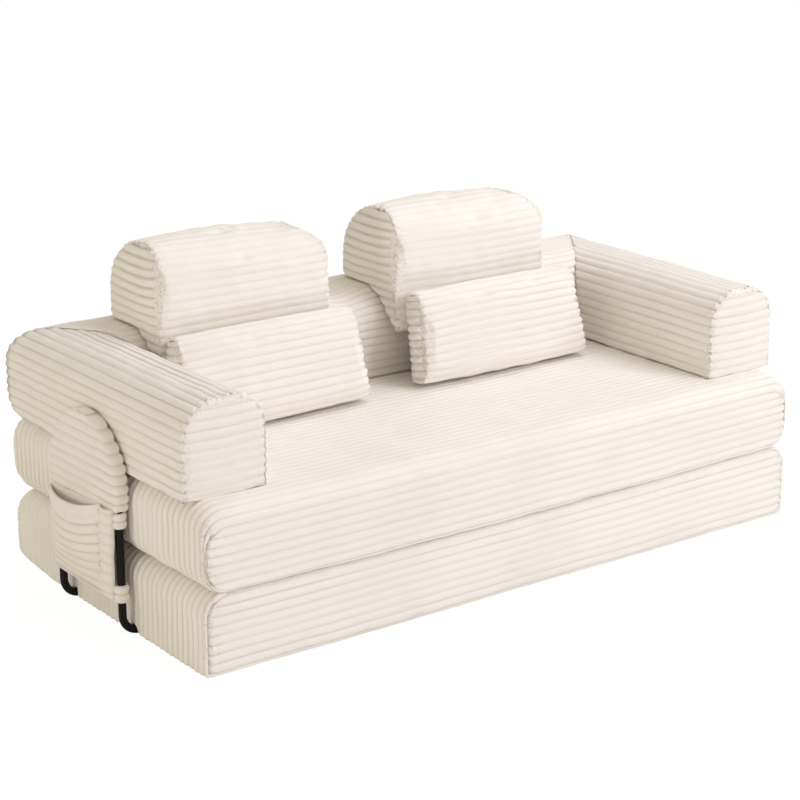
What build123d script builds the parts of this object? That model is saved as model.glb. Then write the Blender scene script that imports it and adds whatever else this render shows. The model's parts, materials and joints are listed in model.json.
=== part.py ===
from build123d import *
import math
import os

# Floor sleeper sofa in wide-wale corduroy: two mattresses hinged along their front seam, a U of
# two arms and a back lying on them, two hook-over headrests, two lumbar pillows, and at each side
# a tube hoop with a padded sleeve and a pocket. Millimetres, +Z up, -Y is the front.
# The origin is on the floor, under the middle of the mattresses.

# Clearances
soft_gap = 0.5  # between soft pieces that touch
fill_gap = 0.6  # between a cover's lining and what fills it
tube_gap = 0.3  # round a tube inside fabric
overrun = 20.0  # how far a cutter runs past what it cuts
join_tolerance = 0.003  # ends of a run this close are one point

# Corduroy
rib_pitch = 23.0
rib_depth = 5.0
cover_wall = 14.0  # rib, cloth and wadding together

# Mattresses
mattress_width = 1790.0
mattress_depth = 900.0
mattress_thickness = 194.5
mattress_end_round = 56.0  # top and bottom edges of the two ends
mattress_front_round = 44.0  # top front edge of the upper one
mattress_rear_round = 38.0
mattress_base_round = 9.0  # bottom edges of the lower one
welt_diameter = 3.0

# Arms and back
arm_width = 221.0
arm_height = 227.0
arm_overhang = 2.8  # past the mattress ends
arm_setback = 76.0  # behind the mattress front
arm_top_radius = 90.0
back_thickness = 297.0
back_front_round = 92.0
back_rear_round = 104.0
back_base_round = 62.0
end_panel_thickness = 15.0  # ribbed panel that closes an arm or a headrest
end_panel_inset = 4.0

# Headrests
headrest_width = 492.0
headrest_height = 213.0  # above the back
headrest_depth = 236.0
headrest_front_round = 75.0
headrest_rear_round = 150.0
headrest_nose = 43.0  # its front face lies this far ahead of the back's
headrest_leg_length = 95.0  # from where it leaves the back's round edge
headrest_leg_thickness = 40.0
headrest_leg_swing = 40.0  # degrees forward of plumb
headrest_leg_round_share = 0.45  # of the leg's thickness
headrest_arm_gap = 6.8  # from the left headrest to the left arm
headrest_spacing = 692.0  # between the middles of the two

# Lumbar pillows
lumbar_width = 535.0
lumbar_height = 233.0
lumbar_thickness = 96.0
lumbar_edge_thickness = 58.0
lumbar_end_share = 0.72  # thickness at the ends as a share of that in the middle
lumbar_drawn_in = 9.0  # the ends are lower than the middle by this
lumbar_lean = 13.0  # degrees
lumbar_arm_gap = 4.3  # from the left pillow to the left arm
lumbar_spacing = 707.0  # between the middles of the two
lumbar_place_shares = (-1, -0.82, -0.45, 0, 0.45, 0.82, 1)  # sections, as shares of half the width

# Side hoops
hoop_tube_diameter = 19.0
hoop_tube_wall = 1.5
hoop_leg_spacing = 281.0
hoop_setback = 13.0  # behind the middle of the mattresses
hoop_bend_radius = 42.0
hoop_bend_gap = 1.0  # round the bends, in the mattress's ends
hoop_foot_length = 360.0  # under the mattress, from the hoop's plane
hoop_plug_depth = 12.0
hoop_plug_head = 3.0
hoop_plug_slip = 0.1  # round the plug's stem inside the tube
hoop_offset = 27.0  # from the mattress end to the tube's middle

# Sleeve, band and pocket
sleeve_width = 323.0
sleeve_top = 507.0
sleeve_bottom = 273.0
sleeve_inner = 4.0  # from the mattress end
sleeve_thickness = 38.0
band_bottom = 90.0
band_height = 43.0
band_thickness = 4.6
pocket_width = 268.0
pocket_bottom = 98.0
pocket_mouth = 305.0
pocket_wall = 6.0
pocket_base_bulge = 22.0
pocket_bulge = 40.0
pocket_mouth_bulge = 33.0
pocket_bulge_height_share = 0.5

# Zips, each in a flat recess of a rear face
zip_end_margin = 145.0  # from a mattress end
back_zip_end_margin = 307.8  # from the back's outer corner
zip_recess_depth = 6.0
zip_recess_margin = 1.0
zip_tape_width = 26.0
zip_tape_thickness = 1.2
zip_teeth_width = 6.0
zip_teeth_height = 1.4
zip_slider_length = 16.0
zip_slider_width = 11.0
zip_slider_height = 4.2
zip_slider_corner = 2.7
zip_pull_length = 34.0
zip_pull_width = 7.0
zip_pull_thickness = 1.5
zip_pull_corner = 2.3
zip_pull_gap = 0.4  # behind the ribs that it hangs on

# Levels and planes that the sizes above give
front = -mattress_depth / 2
rear = mattress_depth / 2
side = mattress_width / 2
lower_top = mattress_thickness
upper_bottom = lower_top + soft_gap
seat = upper_bottom + mattress_thickness
hinge_z = lower_top + soft_gap / 2
hinge_y = front - welt_diameter / 2 - tube_gap
welt_reach = welt_diameter + tube_gap  # past the mattress front
rear_overhang = welt_reach - zip_pull_gap - zip_pull_thickness  # its zip pull ends as far back as the welt stands forward
surround_bottom = seat + soft_gap
surround_side = side + arm_overhang
surround_rear = rear + rear_overhang
surround_top = surround_bottom + arm_height
arm_front = front + arm_setback
back_front = surround_rear - back_thickness
arm_inner = surround_side - arm_width
headrest_front = back_front - soft_gap - headrest_nose
headrest_rear = headrest_front + headrest_depth
hoop_x = side + hoop_offset
sleeve_outer = side + sleeve_inner + sleeve_thickness
tube_radius = hoop_tube_diameter / 2
zip_length = 2 * (side - zip_end_margin)
back_zip_length = 2 * (surround_side - back_zip_end_margin)
ribs_start = front + mattress_front_round + rib_depth
ribs_stop = rear - mattress_rear_round - rib_depth
seat_rib_count = round((ribs_stop - ribs_start) / rib_pitch)
seat_rib_step = (ribs_stop - ribs_start) / seat_rib_count
seat_crests = [ribs_start + (k + 1 / 2) * seat_rib_step for k in range(seat_rib_count)]
back_zip_z = (surround_bottom + back_base_round + surround_top - back_rear_round) / 2


def plane_across(y):
    """The upright plane across the sofa at y, with X to its right and Z up."""
    return Plane(origin=(0, y, 0), x_dir=(1, 0, 0), z_dir=(0, -1, 0))


def plane_along(x):
    """The upright plane along the sofa's depth at x, with Y to its right and Z up."""
    return Plane(origin=(x, 0, 0), x_dir=(0, 1, 0), z_dir=(1, 0, 0))


def rib_count(path):
    """How many ribs of the corduroy's pitch fit along a path."""
    return max(1, round(path.length / rib_pitch))


def rib_arcs(path, count, depth=rib_depth):
    """Arcs of corduroy along a path that has the solid on its left: crests on it, grooves inside it."""
    step = path.length / count

    def groove(k):
        tangent = path.tangent_at(k * step, PositionMode.LENGTH)
        return path.position_at(k * step, PositionMode.LENGTH) + Vector(-tangent.Y, tangent.X) * depth

    def crest(k):
        return path.position_at((k + 1 / 2) * step, PositionMode.LENGTH)

    return [ThreePointArc(groove(k), crest(k), groove(k + 1)) for k in range(count)]


def rounded_path(points, radii):
    """One wire through the points, each inner corner rounded by its radius."""
    run = FilletPolyline(*points, radius=radii) if radii else Polyline(*points)
    return Wire(run.edges())


def closed_face(edges):
    """The face that a run of edges bounds, closed by a straight line where it is open."""
    first, last = edges[0].position_at(0), edges[-1].position_at(1)
    if (first - last).length > join_tolerance:
        edges = edges + [Line(last, first)]
    return Face(Wire([edge for part in edges for edge in part.edges()]))


def outline_face(points, radii):
    """A plain face: a path with rounded corners, closed by a straight line."""
    return closed_face([rounded_path(points, radii)])


def ribbed_face(points, radii, plain=()):
    """A face whose path carries ribs, closed through the plain points."""
    path = rounded_path(points, radii)
    arcs = rib_arcs(path, rib_count(path))
    if plain:
        stops = [arcs[-1].position_at(1), *plain, arcs[0].position_at(0)]
        arcs = arcs + [Polyline(*stops)]
    return closed_face(arcs)


def one_solid(shape):
    """The single solid that a shape holds."""
    (solid,) = shape.solids()
    return solid


def write(name, *solids):
    """Write one sub-part, made of one or more separate solids."""
    shape = solids[0] if len(solids) == 1 else Compound(children=list(solids))
    shape.label = name
    export_step(shape, f"parts/{name}.step")


def mirrored(solid):
    """The same piece at the sofa's other side."""
    return mirror(solid, about=Plane.YZ)


# Mattresses


def mattress_section(y, inset, flat_base):
    """The mattress cut across at y: a box with rounded corners, drawn in by inset, but not at a flat base."""
    half, high = side - inset, mattress_thickness - inset
    base = 0 if flat_base else inset
    upper = mattress_end_round - inset
    lower = mattress_base_round if flat_base else upper
    points = [(half / 2, base), (half, base), (half, high), (-half, high), (-half, base), (-half / 2, base)]
    return plane_across(y) * outline_face(points, [lower, upper, upper, lower])


def mattress_ribs(flat_base):
    """The ribs that run over the top, down both ends and back underneath, between the two panels."""
    sections = [mattress_section(ribs_start, rib_depth, flat_base)]
    for crest in seat_crests:
        sections.append(mattress_section(crest, 0, flat_base))
        sections.append(mattress_section(crest + seat_rib_step / 2, rib_depth, flat_base))
    return loft(sections, ruled=True)


def mattress_edge(face_y, depth, profile, flat_base):
    """The front or rear panel: its profile run across the sofa and cut to the mattress's rounded ends."""
    panel = extrude(plane_along(-side) * profile, mattress_width)
    ends = extrude(mattress_section(face_y, 0, flat_base), depth + overrun, both=True)
    return panel & ends


def front_panel(top_round, base_round, flat_base):
    """The front panel, rounded at one edge, and cut on a rib's crest at the hinge seam."""
    depth, inner = ribs_start - front, ribs_start
    if flat_base:
        past_seam = mattress_thickness + rib_pitch / 2
        points = [(front, past_seam), (front, 0), (inner, 0)]
        profile = ribbed_face(points, [base_round], plain=((inner, past_seam),))
    else:
        past_seam = -rib_pitch / 2
        points = [(inner, mattress_thickness), (front, mattress_thickness), (front, past_seam)]
        profile = ribbed_face(points, [top_round], plain=((inner, past_seam),))
    return mattress_edge(front, depth, profile, flat_base)


def rear_panel(flat_base):
    """The rear panel, rounded at both its edges."""
    depth, inner = rear - ribs_stop, ribs_stop
    base_round = mattress_base_round if flat_base else mattress_rear_round
    points = [(inner, 0), (rear, 0), (rear, mattress_thickness), (inner, mattress_thickness)]
    return mattress_edge(rear, depth, ribbed_face(points, [base_round, mattress_rear_round]), flat_base)


def mattress_body(top_round, base_round, flat_base):
    """A whole mattress with its base at 0, still without its hollow."""
    ends = front_panel(top_round, base_round, flat_base), rear_panel(flat_base)
    return one_solid(ends[0] + mattress_ribs(flat_base) + ends[1])


def mattress_filling(gap):
    """The room for a mattress's foam, or with a gap the foam itself, with its base at the lining."""
    inset = cover_wall + gap
    height = mattress_thickness - 2 * inset
    block = Box(mattress_width - 2 * inset, mattress_depth - 2 * inset, height)
    block = Pos(0, 0, mattress_thickness / 2) * block
    return fillet(block.edges().filter_by(Axis.Y), mattress_end_round - cover_wall)


def foot_channels(gap):
    """The four channels in the lower mattress's base that the hoops' feet lie in, wider by gap."""
    radius = tube_radius + gap
    length = hoop_foot_length - hoop_offset + hoop_plug_head + gap
    channels = []
    for across in (-1, 1):
        middle = across * (side - (length - overrun) / 2)
        for along in (-1, 1):
            place = Pos(middle, hoop_setback + along * hoop_leg_spacing / 2, tube_radius)
            round_part = place * Rot(0, 90, 0) * Cylinder(radius, length + overrun)
            lower = Pos(0, 0, -(tube_radius + overrun) / 2) * Box(length + overrun, 2 * radius, tube_radius + overrun)
            channels.append(round_part + place * lower)
    return channels


def bend_channels(gap):
    """The room in both ends of the lower mattress for the bends between the hoops' feet and their legs."""
    channels = []
    for along in (-1, 1):
        bend = Pos(0, hoop_setback, 0) * hoop_bar(foot_bend(along * hoop_leg_spacing / 2), tube_radius + gap)
        channels += [bend, mirrored(bend)]
    return channels


def lower_mattress():
    """Cover and foam of the lower mattress, both shaped round the channels for the hoops' feet."""
    body = mattress_body(0, mattress_base_round, True)
    hollow = mattress_filling(0)
    foam = mattress_filling(fill_gap)
    for channel in foot_channels(cover_wall):
        hollow -= channel
    for channel in foot_channels(cover_wall + fill_gap):
        foam -= channel
    cover = body - hollow
    for channel in [*foot_channels(soft_gap), *bend_channels(hoop_bend_gap)]:
        cover -= channel
    cover -= zip_recess(rear, mattress_thickness / 2, zip_length)
    return one_solid(cover), one_solid(foam)


def upper_mattress():
    """Cover and foam of the upper mattress."""
    lift = Pos(0, 0, upper_bottom)
    cover = mattress_body(mattress_front_round, 0, False) - mattress_filling(0)
    cover -= zip_recess(rear, mattress_thickness / 2, zip_length)
    return one_solid(lift * cover), one_solid(lift * mattress_filling(fill_gap))


def hinge_welt():
    """The welt in the seam that the upper mattress turns about."""
    length = mattress_width - 2 * mattress_end_round
    return one_solid(Pos(0, hinge_y, hinge_z) * Rot(0, 90, 0) * Cylinder(welt_diameter / 2, length))


# Arms and back


def mitre_cutter(keep_arm, gap):
    """What lies on the other side of the right arm's mitre, from the inner corner to the outer one."""
    inner, outer = Vector(arm_inner, back_front), Vector(surround_side, surround_rear)
    along = (outer - inner).normalized()
    away = Vector(along.Y, -along.X) * (1 if not keep_arm else -1)
    low = inner - along * mattress_depth - away * gap
    high = outer + along * mattress_depth - away * gap
    reach = away * mattress_depth
    face = Face(Wire.make_polygon([low, high, high + reach, low + reach], close=True))
    return extrude(Pos(0, 0, surround_bottom - overrun) * face, arm_height + 2 * overrun, dir=(0, 0, 1))


def arm_profile(inset, ribs):
    """The right arm cut across: a flat base and a top with two large rounds."""
    left, right = arm_inner + inset, surround_side - inset
    low, high = surround_bottom + inset, surround_top - inset
    points = [(right, low), (right, high), (left, high), (left, low)]
    radii = [arm_top_radius - inset] * 2
    return ribbed_face(points, radii) if ribs else outline_face(points, radii)


def arm_block(inset, ribs):
    """The right arm behind its end panel, run past its rear corner and cut off at the mitre."""
    start, past = arm_front + end_panel_thickness + inset, surround_rear + overrun
    return extrude(plane_across(past) * arm_profile(inset, ribs), past - start) - mitre_cutter(True, inset)


def right_arm():
    """Cover, foam and front end panel of the right arm."""
    lined = cover_wall + fill_gap
    body, hollow, foam = arm_block(0, True), arm_block(cover_wall, False), arm_block(lined, False)
    return one_solid(body - hollow), one_solid(foam), arm_end_panel()


def arm_end_panel():
    """The panel that closes the right arm's front, ribbed across."""
    inset = end_panel_inset
    low, high = surround_bottom + inset, surround_top - inset
    start, stop = arm_front, arm_front + end_panel_thickness
    ribs = ribbed_face([(start, high), (start, low)], [], plain=((stop, low), (stop, high)))
    panel = extrude(plane_along(arm_inner) * ribs, arm_width)
    outline = plane_across(stop + overrun) * arm_profile(inset, False)
    return one_solid(panel & extrude(outline, end_panel_thickness + 2 * overrun))


def back_profile(inset, ribs):
    """The back cut along the sofa's depth: upright at the front, full round at the rear."""
    start, stop = back_front + inset, surround_rear - inset
    low, high = surround_bottom + inset, surround_top - inset
    heel = stop - (back_base_round - inset) - overrun
    points = [(heel, low), (stop, low), (stop, high), (start, high), (start, low)]
    radii = [back_base_round - inset, back_rear_round - inset, back_front_round - inset]
    return ribbed_face(points, radii) if ribs else outline_face(points, radii)


def back_block(inset, ribs):
    """The back between its two mitres, which cut off what runs past its corners."""
    past = surround_side + overrun
    block = extrude(plane_along(-past) * back_profile(inset, ribs), 2 * past)
    cutter = mitre_cutter(False, inset)
    return block - cutter - mirrored(cutter)


def back():
    """Cover and foam of the back."""
    cover = back_block(0, True) - back_block(cover_wall, False)
    cover -= zip_recess(surround_rear, back_zip_z, back_zip_length)
    return one_solid(cover), one_solid(back_block(cover_wall + fill_gap, False))


# Headrests


def headrest_leg(inset):
    """The leg's two end corners, and where its rear side leaves the back's round edge."""
    swing = math.radians(headrest_leg_swing)
    down, ahead = Vector(-math.sin(swing), -math.cos(swing)), Vector(-math.cos(swing), math.sin(swing))
    centre = Vector(back_front + back_front_round, surround_top - back_front_round)
    leave = centre + ahead * (back_front_round + soft_gap + inset)
    rear_end = leave + down * (headrest_leg_length - inset)
    return rear_end + ahead * (headrest_leg_thickness - 2 * inset), rear_end, leave


def headrest_face(inset, ribs):
    """The headrest's hook cut along the sofa's depth, over the back and down in front of it."""
    start, stop = headrest_front + inset, headrest_rear - inset
    low, high = surround_top + soft_gap + inset, surround_top + soft_gap + headrest_height - inset
    front_end, rear_end, leave = headrest_leg(inset)
    up = (leave - rear_end).normalized()
    fork = front_end + up * ((start - front_end.X) / up.X)
    heel = back_front + back_front_round
    bend = back_front_round + soft_gap + inset
    leg_round = (headrest_leg_thickness - 2 * inset) * headrest_leg_round_share
    points = [(stop, low), (stop, high), (start, high), fork, front_end, rear_end]
    radii = [headrest_rear_round - inset, headrest_front_round - inset, leg_round, leg_round]
    outer = rounded_path(points, radii)
    run = rib_arcs(outer, rib_count(outer)) if ribs else [outer]
    first, last = run[0].position_at(0), run[-1].position_at(1)
    shoulder = Vector(heel, low)
    centre = Vector(heel, surround_top - back_front_round)
    middle = centre + ((leave - centre).normalized() + Vector(0, 1)).normalized() * bend
    return closed_face(run + [Line(last, leave), ThreePointArc(leave, middle, shoulder), Line(shoulder, first)])


def headrest():
    """Cover, foam and the two end panels of a headrest, in the sofa's middle."""
    half = headrest_width / 2 - end_panel_thickness
    inset = cover_wall + fill_gap
    body = extrude(plane_along(-half) * headrest_face(0, True), 2 * half)
    hollow = extrude(plane_along(-half + cover_wall) * headrest_face(cover_wall, False), 2 * (half - cover_wall))
    foam = extrude(plane_along(-half + inset) * headrest_face(inset, False), 2 * (half - inset))
    panel = headrest_end_panel(half)
    return one_solid(body - hollow), one_solid(foam), (panel, mirrored(panel))


def headrest_end_panel(start):
    """One end panel, ribbed along the sofa's depth and cut to the hook's outline."""
    stop = start + end_panel_thickness
    low = surround_top - headrest_leg_length - headrest_leg_thickness
    high = surround_top + soft_gap + headrest_height
    ribs = ribbed_face([(stop, low), (stop, high)], [], plain=((start, high), (start, low)))
    panel = extrude(plane_across(headrest_rear) * ribs, headrest_depth + headrest_leg_length)
    outline = extrude(plane_along(start) * headrest_face(end_panel_inset, False), end_panel_thickness)
    return one_solid(panel & outline)


# Lumbar pillows


def lumbar_outline(share, inset):
    """The arcs round a lumbar pillow: thin at its top and base, crowned between them."""
    height = lumbar_height - 2 * lumbar_drawn_in * (1 - share) / (1 - lumbar_end_share) - 2 * inset
    edge = lumbar_edge_thickness * share - 2 * inset
    bulge = (lumbar_thickness * share - 2 * inset - edge) / 2
    crown, waist = Vector(0, height / 2), Vector(edge / 2 + bulge, 0)
    right = Vector(edge / 2, 0)
    shoulder = height / 2 - edge / 2
    return [
        ThreePointArc(right - Vector(0, shoulder), waist, right + Vector(0, shoulder)),
        ThreePointArc(right + Vector(0, shoulder), crown, Vector(-edge / 2, shoulder)),
        ThreePointArc(Vector(-edge / 2, shoulder), -waist, Vector(-edge / 2, -shoulder)),
        ThreePointArc(Vector(-edge / 2, -shoulder), -crown, right - Vector(0, shoulder)),
    ]


def joined(arcs):
    """One wire through arcs that meet end to end."""
    return Wire([edge for arc in arcs for edge in arc.edges()])


def lumbar_loft(inset, ribs):
    """A lumbar pillow, upright about its own middle, fuller in the middle than at its ends."""
    half = lumbar_width / 2 - inset
    count = rib_count(joined(lumbar_outline(1, 0)))
    sections = []
    for place in lumbar_place_shares:
        share = lumbar_end_share + (1 - lumbar_end_share) * math.sqrt(1 - place * place)
        arcs = lumbar_outline(share, inset)
        if ribs:
            arcs = rib_arcs(joined(arcs), count)
        sections.append(plane_along(place * half) * closed_face(arcs))
    return loft(sections, ruled=True)


def lumbar_rest(lean):
    """How a leaning lumbar pillow has to move to lie on the seat's ribs, just before the headrest's leg."""
    outline = joined(lumbar_outline(1, 0))
    middle = lean * (plane_along(0) * closed_face(rib_arcs(outline, rib_count(outline))))
    box = middle.bounding_box()
    leg = plane_along(0) * headrest_face(0, True)
    middle = Pos(0, leg.bounding_box().min.Y - soft_gap - box.max.Y, surround_bottom - box.min.Z) * middle
    drop = min(middle.distance_to(Vertex(0, crest, seat)) for crest in seat_crests) - soft_gap
    moved = middle.bounding_box().center() - box.center()
    return Pos(0, moved.Y, moved.Z - drop)


def lumbar():
    """Cover and filling of a lumbar pillow in the sofa's middle, leaning back on the headrest's leg."""
    cover = lumbar_loft(0, True) - lumbar_loft(cover_wall, False)
    filling = lumbar_loft(cover_wall + fill_gap, False)
    lean = Rot(-lumbar_lean, 0, 0)
    place = lumbar_rest(lean) * lean
    return one_solid(place * cover), one_solid(place * filling)


# Side hoops


def foot_bend(y):
    """The centre line of a bend of the right hoop, from a foot to its leg."""
    heel = Vector(hoop_x - hoop_bend_radius, y, tube_radius)
    turn = hoop_bend_radius * (1 - math.sqrt(1 / 2))
    return ThreePointArc(heel, (hoop_x - turn, y, tube_radius + turn), (hoop_x, y, tube_radius + hoop_bend_radius))


def hoop_path():
    """The right hoop's centre line: foot, bend, leg, half-round top, leg, bend, foot."""
    half = hoop_leg_spacing / 2
    spring = sleeve_top - sleeve_width / 2
    toe = hoop_x - hoop_foot_length
    runs = []
    for y in (-half, half):
        bend = foot_bend(y)
        runs += [Line((toe, y, tube_radius), bend @ 0), bend, Line(bend @ 1, (hoop_x, y, spring))]
    runs.append(ThreePointArc((hoop_x, -half, spring), (hoop_x, 0, spring + half), (hoop_x, half, spring)))
    return Wire([edge for run in runs for edge in run.edges()])


def hoop_bar(path, radius):
    """A round bar along a centre line."""
    start = Plane(origin=path.position_at(0), z_dir=path.tangent_at(0))
    return sweep(start * Circle(radius), path=path)


def hoop_sweep(radius):
    """A round bar along the whole hoop."""
    return hoop_bar(hoop_path(), radius)


def foot_plug(y):
    """The plastic plug that closes one foot of the right hoop."""
    toe = hoop_x - hoop_foot_length
    head = Pos(toe - hoop_plug_head / 2, y, tube_radius) * Rot(0, 90, 0) * Cylinder(tube_radius, hoop_plug_head)
    head = fillet(head.edges().sort_by(Axis.X)[0], hoop_plug_head / 2)
    stem_radius = tube_radius - hoop_tube_wall - hoop_plug_slip
    stem = Pos(toe + hoop_plug_depth / 2, y, tube_radius) * Rot(0, 90, 0) * Cylinder(stem_radius, hoop_plug_depth)
    return one_solid(head + stem)


def sleeve_outline(width, top, low):
    """An arch seen from the side: upright edges and a half-round top."""
    half = width / 2
    points = [(half, low), (half, top), (-half, top), (-half, low)]
    return outline_face(points, [half - tube_gap] * 2)


def right_sleeve():
    """The padded sleeve over the right hoop's top, ribbed along the sofa's depth, with the tube's channel."""
    inner = side + sleeve_inner
    ribs = ribbed_face(
        [(sleeve_outer, sleeve_bottom), (sleeve_outer, sleeve_top)],
        [],
        plain=((inner, sleeve_top), (inner, sleeve_bottom)),
    )
    pad = extrude(plane_across(sleeve_width / 2) * ribs, sleeve_width)
    arch = sleeve_outline(sleeve_width, sleeve_top, sleeve_bottom)
    pad &= extrude(plane_along(inner) * arch, sleeve_thickness)
    return one_solid(pad - hoop_sweep(tube_radius + tube_gap))


def right_band():
    """The band that is looped round both legs of the right hoop, below the pocket's middle."""
    reach = tube_radius + tube_gap
    outer = SlotCenterToCenter(hoop_leg_spacing, 2 * (reach + band_thickness))
    inner = SlotCenterToCenter(hoop_leg_spacing, 2 * reach)
    loop = extrude(outer - inner, band_height)
    return one_solid(Pos(hoop_x, 0, band_bottom) * Rot(0, 0, 90) * loop)


def pocket_profile(inset, ribs):
    """The right pocket cut across: a flat back on the sleeve and a ribbed front that sags outwards."""
    back_x = sleeve_outer + soft_gap + inset
    low = pocket_bottom + inset
    height = pocket_mouth - pocket_bottom
    belly_z = pocket_bottom + height * pocket_bulge_height_share
    base = Vector(sleeve_outer + pocket_base_bulge - inset, low)
    belly = Vector(sleeve_outer + pocket_bulge - inset, belly_z)
    lip_z = pocket_mouth if inset == 0 else pocket_mouth + overrun
    lip = Vector(sleeve_outer + pocket_mouth_bulge - inset, lip_z)
    front_line = ThreePointArc(base, belly, lip)
    sag = Wire(front_line.edges())
    run = rib_arcs(sag, rib_count(sag)) if ribs else [front_line]
    first, last = run[0].position_at(0), run[-1].position_at(1)
    return closed_face(run + [Polyline(last, (back_x, lip_z), (back_x, low), first)])


def right_pocket():
    """The right pocket: a pouch sewn to the sleeve and the band, open at its top."""
    pouch = extrude(plane_across(pocket_width / 2) * pocket_profile(0, True), pocket_width)
    room_width = pocket_width - 2 * pocket_wall
    room = extrude(plane_across(room_width / 2) * pocket_profile(pocket_wall, False), room_width)
    return one_solid(pouch - room)


# Zips


def zip_recess(face_y, z, length):
    """The flat recess in a rear face that a zip lies in."""
    depth = zip_recess_depth + overrun
    block = Box(length + 2 * zip_recess_margin, depth, zip_tape_width + 2 * zip_recess_margin)
    return Pos(0, face_y - zip_recess_depth + depth / 2, z) * block


def zip_tape(face_y, z, length):
    """A zip's tape with its row of teeth, on the recess's floor."""
    floor = face_y - zip_recess_depth
    tape = Pos(0, floor + zip_tape_thickness / 2, z) * Box(length, zip_tape_thickness, zip_tape_width)
    teeth_y = floor + zip_tape_thickness + zip_teeth_height / 2
    teeth = Pos(0, teeth_y, z) * Box(length, zip_teeth_height, zip_teeth_width)
    return one_solid(tape + teeth)


def zip_slider(face_y, z, length):
    """A zip's slider at the closed end of its teeth, with its pull hanging over the ribs."""
    start = tube_gap + zip_tape_thickness - zip_recess_depth
    body = Pos(0, start + zip_slider_height / 2, 0) * Box(zip_slider_length, zip_slider_height, zip_slider_width)
    body = fillet(body.edges().filter_by(Axis.Y), zip_slider_corner)
    body -= Pos(0, start, 0) * Box(zip_slider_length + overrun, 2 * zip_teeth_height, zip_teeth_width + 2 * tube_gap)
    pull = Box(zip_pull_width, zip_pull_thickness, zip_pull_length)
    pull = fillet(pull.edges().filter_by(Axis.Y), zip_pull_corner)
    drop = zip_pull_length / 2 - zip_pull_width / 2
    pull = Pos(0, zip_pull_gap + zip_pull_thickness / 2, -drop) * pull
    post_top = zip_pull_gap + zip_pull_thickness / 2
    post_height = post_top - start - zip_slider_height / 2
    post = Pos(0, post_top - post_height / 2, 0) * Box(zip_pull_width / 2, post_height, zip_pull_width / 2)
    x = (length - zip_slider_length) / 2 - zip_recess_margin
    return one_solid(Pos(x, face_y, z) * (body + post + pull))


def main():
    """Build every sub-part and write it."""
    os.makedirs("parts", exist_ok=True)
    cover, foam = lower_mattress()
    write("lower_mattress_cover", cover)
    write("lower_mattress_foam", foam)
    cover, foam = upper_mattress()
    write("upper_mattress_cover", cover)
    write("upper_mattress_foam", foam)
    write("hinge_welt", hinge_welt())
    cover, foam, panel = right_arm()
    for name, place in (("right", lambda piece: piece), ("left", mirrored)):
        write(f"{name}_arm_cover", place(cover))
        write(f"{name}_arm_foam", place(foam))
        write(f"{name}_arm_end_panel", place(panel))
    cover, foam = back()
    write("back_cover", cover)
    write("back_foam", foam)
    cover, foam, panels = headrest()
    pillow, filling = lumbar()
    headrest_x = headrest_arm_gap + headrest_width / 2 - arm_inner
    lumbar_x = lumbar_arm_gap + lumbar_width / 2 - arm_inner
    for name, place in (("left", 0), ("right", 1)):
        over = Pos(headrest_x + place * headrest_spacing, 0, 0)
        write(f"{name}_headrest_cover", over * cover)
        write(f"{name}_headrest_foam", over * foam)
        write(f"{name}_headrest_end_panels", *[over * panel for panel in panels])
        before = Pos(lumbar_x + place * lumbar_spacing, 0, 0)
        write(f"{name}_lumbar_cover", before * pillow)
        write(f"{name}_lumbar_filling", before * filling)
    zips = {
        "lower_mattress": (rear, mattress_thickness / 2, zip_length),
        "upper_mattress": (rear, upper_bottom + mattress_thickness / 2, zip_length),
        "back": (surround_rear, back_zip_z, back_zip_length),
    }
    for name, place in zips.items():
        write(f"{name}_zip_tape", zip_tape(*place))
        write(f"{name}_zip_slider", zip_slider(*place))
    pieces = {
        "hoop_tube": (one_solid(hoop_sweep(tube_radius) - hoop_sweep(tube_radius - hoop_tube_wall)),),
        "hoop_foot_plugs": (foot_plug(-hoop_leg_spacing / 2), foot_plug(hoop_leg_spacing / 2)),
        "sleeve": (right_sleeve(),),
        "lower_band": (right_band(),),
        "pocket": (right_pocket(),),
    }
    for name, solids in pieces.items():
        placed = [Pos(0, hoop_setback, 0) * solid for solid in solids]
        write(f"right_{name}", *placed)
        write(f"left_{name}", *[mirrored(solid) for solid in placed])


main()
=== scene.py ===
"""Looks of a floor sleeper sofa in wide-wale corduroy.

Two hinged mattresses carry a loose U of two arms and a back, with two hook-over headrests and two
lumbar pillows. A steel tube hoop at each side holds a padded sleeve, two straps and a pocket. Sizes
are in millimetres until a mesh is written, which is in metres. +Z is up and -Y is the sofa's front.
"""

import json
import logging
import math
from dataclasses import dataclass
from enum import Enum

import bmesh
import bpy
import numpy as np
from bpy.types import Material, Mesh, Node, NodeSocket, Object, World
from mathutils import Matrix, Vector


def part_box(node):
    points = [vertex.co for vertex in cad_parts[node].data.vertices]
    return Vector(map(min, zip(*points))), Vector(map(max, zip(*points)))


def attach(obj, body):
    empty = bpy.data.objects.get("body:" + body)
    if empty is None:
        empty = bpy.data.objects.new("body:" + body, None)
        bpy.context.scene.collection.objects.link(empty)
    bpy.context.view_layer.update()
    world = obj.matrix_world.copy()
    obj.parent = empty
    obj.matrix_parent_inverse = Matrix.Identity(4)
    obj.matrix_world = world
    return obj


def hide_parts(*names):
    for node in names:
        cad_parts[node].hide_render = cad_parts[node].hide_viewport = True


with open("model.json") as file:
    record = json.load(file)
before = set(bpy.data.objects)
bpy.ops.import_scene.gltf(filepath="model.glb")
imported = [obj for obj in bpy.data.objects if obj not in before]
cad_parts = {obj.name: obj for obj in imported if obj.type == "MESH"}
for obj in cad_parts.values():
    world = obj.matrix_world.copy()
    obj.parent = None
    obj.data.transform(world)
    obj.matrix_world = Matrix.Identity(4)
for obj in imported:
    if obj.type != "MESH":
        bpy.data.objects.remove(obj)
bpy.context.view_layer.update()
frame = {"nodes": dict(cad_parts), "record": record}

log = logging.getLogger("sofa")

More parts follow.
